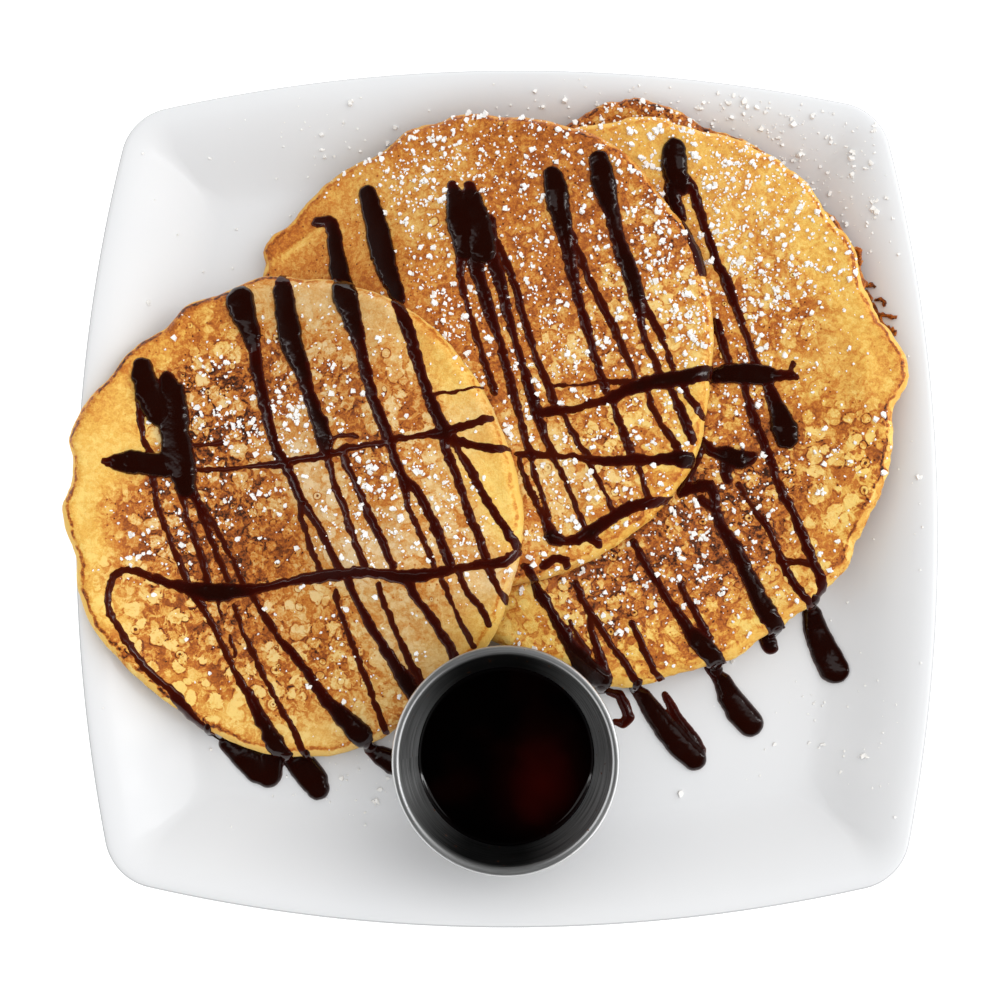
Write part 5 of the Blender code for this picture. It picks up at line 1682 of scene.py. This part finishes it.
def socket_for(modifier, name):
    """Identifier of a named input of a modifier's tree."""
    for item in modifier.node_group.interface.items_tree:
        if item.item_type == "SOCKET" and item.in_out == "INPUT" and item.name == name:
            return item.identifier
    raise KeyError(name)


print("lump shapes", len(LUMP_FLAKES))

# %% [markdown]
# The tree: scatter points by the amount, fewer where a fine noise is low so that clumps form,
# put a lump on each with its own turn and size, make it all real, and set its surface. It runs
# twice. Each row gives the piece's name, how many lumps a square metre would take where the
# sugar is thickest, the smallest and the largest lump in metres, and the seed.

# %% scatter the sugar
SHAKES = [("sugar_clumps", 460000.0, 0.0008, 0.0024, 4), ("sugar_specks", 900000.0, 0.0004, 0.0010, 11)]


def sugar_tree():
    """Geometry Nodes tree that puts sugar lumps on a sheet."""
    tree = bpy.data.node_groups.new("shake_sugar", "GeometryNodeTree")
    face = tree.interface
    face.new_socket("Geometry", in_out="INPUT", socket_type="NodeSocketGeometry")
    for label, kind in (("Density", "NodeSocketFloat"), ("Smallest", "NodeSocketFloat"),
                        ("Largest", "NodeSocketFloat"), ("Seed", "NodeSocketInt"),
                        ("Lumps", "NodeSocketCollection"), ("Surface", "NodeSocketMaterial")):
        face.new_socket(label, in_out="INPUT", socket_type=kind)
    face.new_socket("Geometry", in_out="OUTPUT", socket_type="NodeSocketGeometry")
    given = part(tree, "NodeGroupInput").outputs
    amount = part(tree, "GeometryNodeInputNamedAttribute", data_type="FLOAT")
    amount.inputs["Name"].default_value = "amount"
    clumps = part(tree, "ShaderNodeTexNoise")
    clumps.inputs["Scale"].default_value = 420.0
    clumps.inputs["Detail"].default_value = 2.0
    gather = between(tree, clumps.outputs["Fac"], 0.46, 0.62, 0.12, 1.0)
    density = times(tree, times(tree, amount.outputs[0], gather), given["Density"])
    scatter = part(tree, "GeometryNodeDistributePointsOnFaces", distribute_method="RANDOM")
    tree.links.new(given["Geometry"], scatter.inputs["Mesh"])
    tree.links.new(density, scatter.inputs["Density"])
    tree.links.new(given["Seed"], scatter.inputs["Seed"])
    dice = part(tree, "FunctionNodeRandomValue", data_type="FLOAT")
    tree.links.new(given["Seed"], dice.inputs["Seed"])
    skew = sums(tree, "POWER", dice.outputs[1], 2.2)
    span = minus(tree, given["Largest"], given["Smallest"])
    size = scaled(tree, skew, span, given["Smallest"])
    spin = part(tree, "FunctionNodeRandomValue", data_type="FLOAT_VECTOR")
    spin.inputs[0].default_value = (-0.3, -0.3, 0.0)
    spin.inputs[1].default_value = (0.3, 0.3, 6.28)
    pick = part(tree, "GeometryNodeCollectionInfo", transform_space="ORIGINAL")
    pick.inputs["Separate Children"].default_value = True
    pick.inputs["Reset Children"].default_value = True
    tree.links.new(given["Lumps"], pick.inputs["Collection"])
    put = part(tree, "GeometryNodeInstanceOnPoints")
    tree.links.new(scatter.outputs["Points"], put.inputs["Points"])
    tree.links.new(pick.outputs[0], put.inputs["Instance"])
    put.inputs["Pick Instance"].default_value = True
    tree.links.new(spin.outputs[0], put.inputs["Rotation"])
    tree.links.new(size, put.inputs["Scale"])
    real = part(tree, "GeometryNodeRealizeInstances")
    tree.links.new(put.outputs[0], real.inputs[0])
    paint = part(tree, "GeometryNodeSetMaterial")
    tree.links.new(real.outputs[0], paint.inputs["Geometry"])
    tree.links.new(given["Surface"], paint.inputs["Material"])
    end = part(tree, "NodeGroupOutput")
    tree.links.new(paint.outputs[0], end.inputs[0])
    return tree


def shake(sheet, tree, lumps, name, density, smallest, largest, seed):
    """Run the tree once over the sheet and keep the result as a plain mesh."""
    modifier = sheet.modifiers.new("shake", "NODES")
    modifier.node_group = tree
    for label, value in (("Density", density), ("Smallest", smallest), ("Largest", largest),
                         ("Seed", seed), ("Lumps", lumps), ("Surface", sheet.data.materials[0])):
        modifier[socket_for(modifier, label)] = value
    bpy.context.view_layer.update()
    graph = bpy.context.evaluated_depsgraph_get()
    mesh = bpy.data.meshes.new_from_object(sheet.evaluated_get(graph))
    mesh.name = name
    sheet.modifiers.remove(modifier)
    made = bpy.data.objects.new(name, mesh)
    scene.collection.objects.link(made)
    print(name, len(mesh.polygons), "faces")
    keep(made)


dusting = dusting_sheet()
lumps = bpy.data.collections.new("sugar_lumps")
for k, flakes in enumerate(LUMP_FLAKES):
    lumps.objects.link(sugar_lump("lump_" + str(k), flakes, 100 + k))
tree = sugar_tree()
for row in SHAKES:
    shake(dusting, tree, lumps, *row)
bpy.data.objects.remove(dusting)
for lump in list(lumps.objects):
    bpy.data.objects.remove(lump)
bpy.data.collections.remove(lumps)
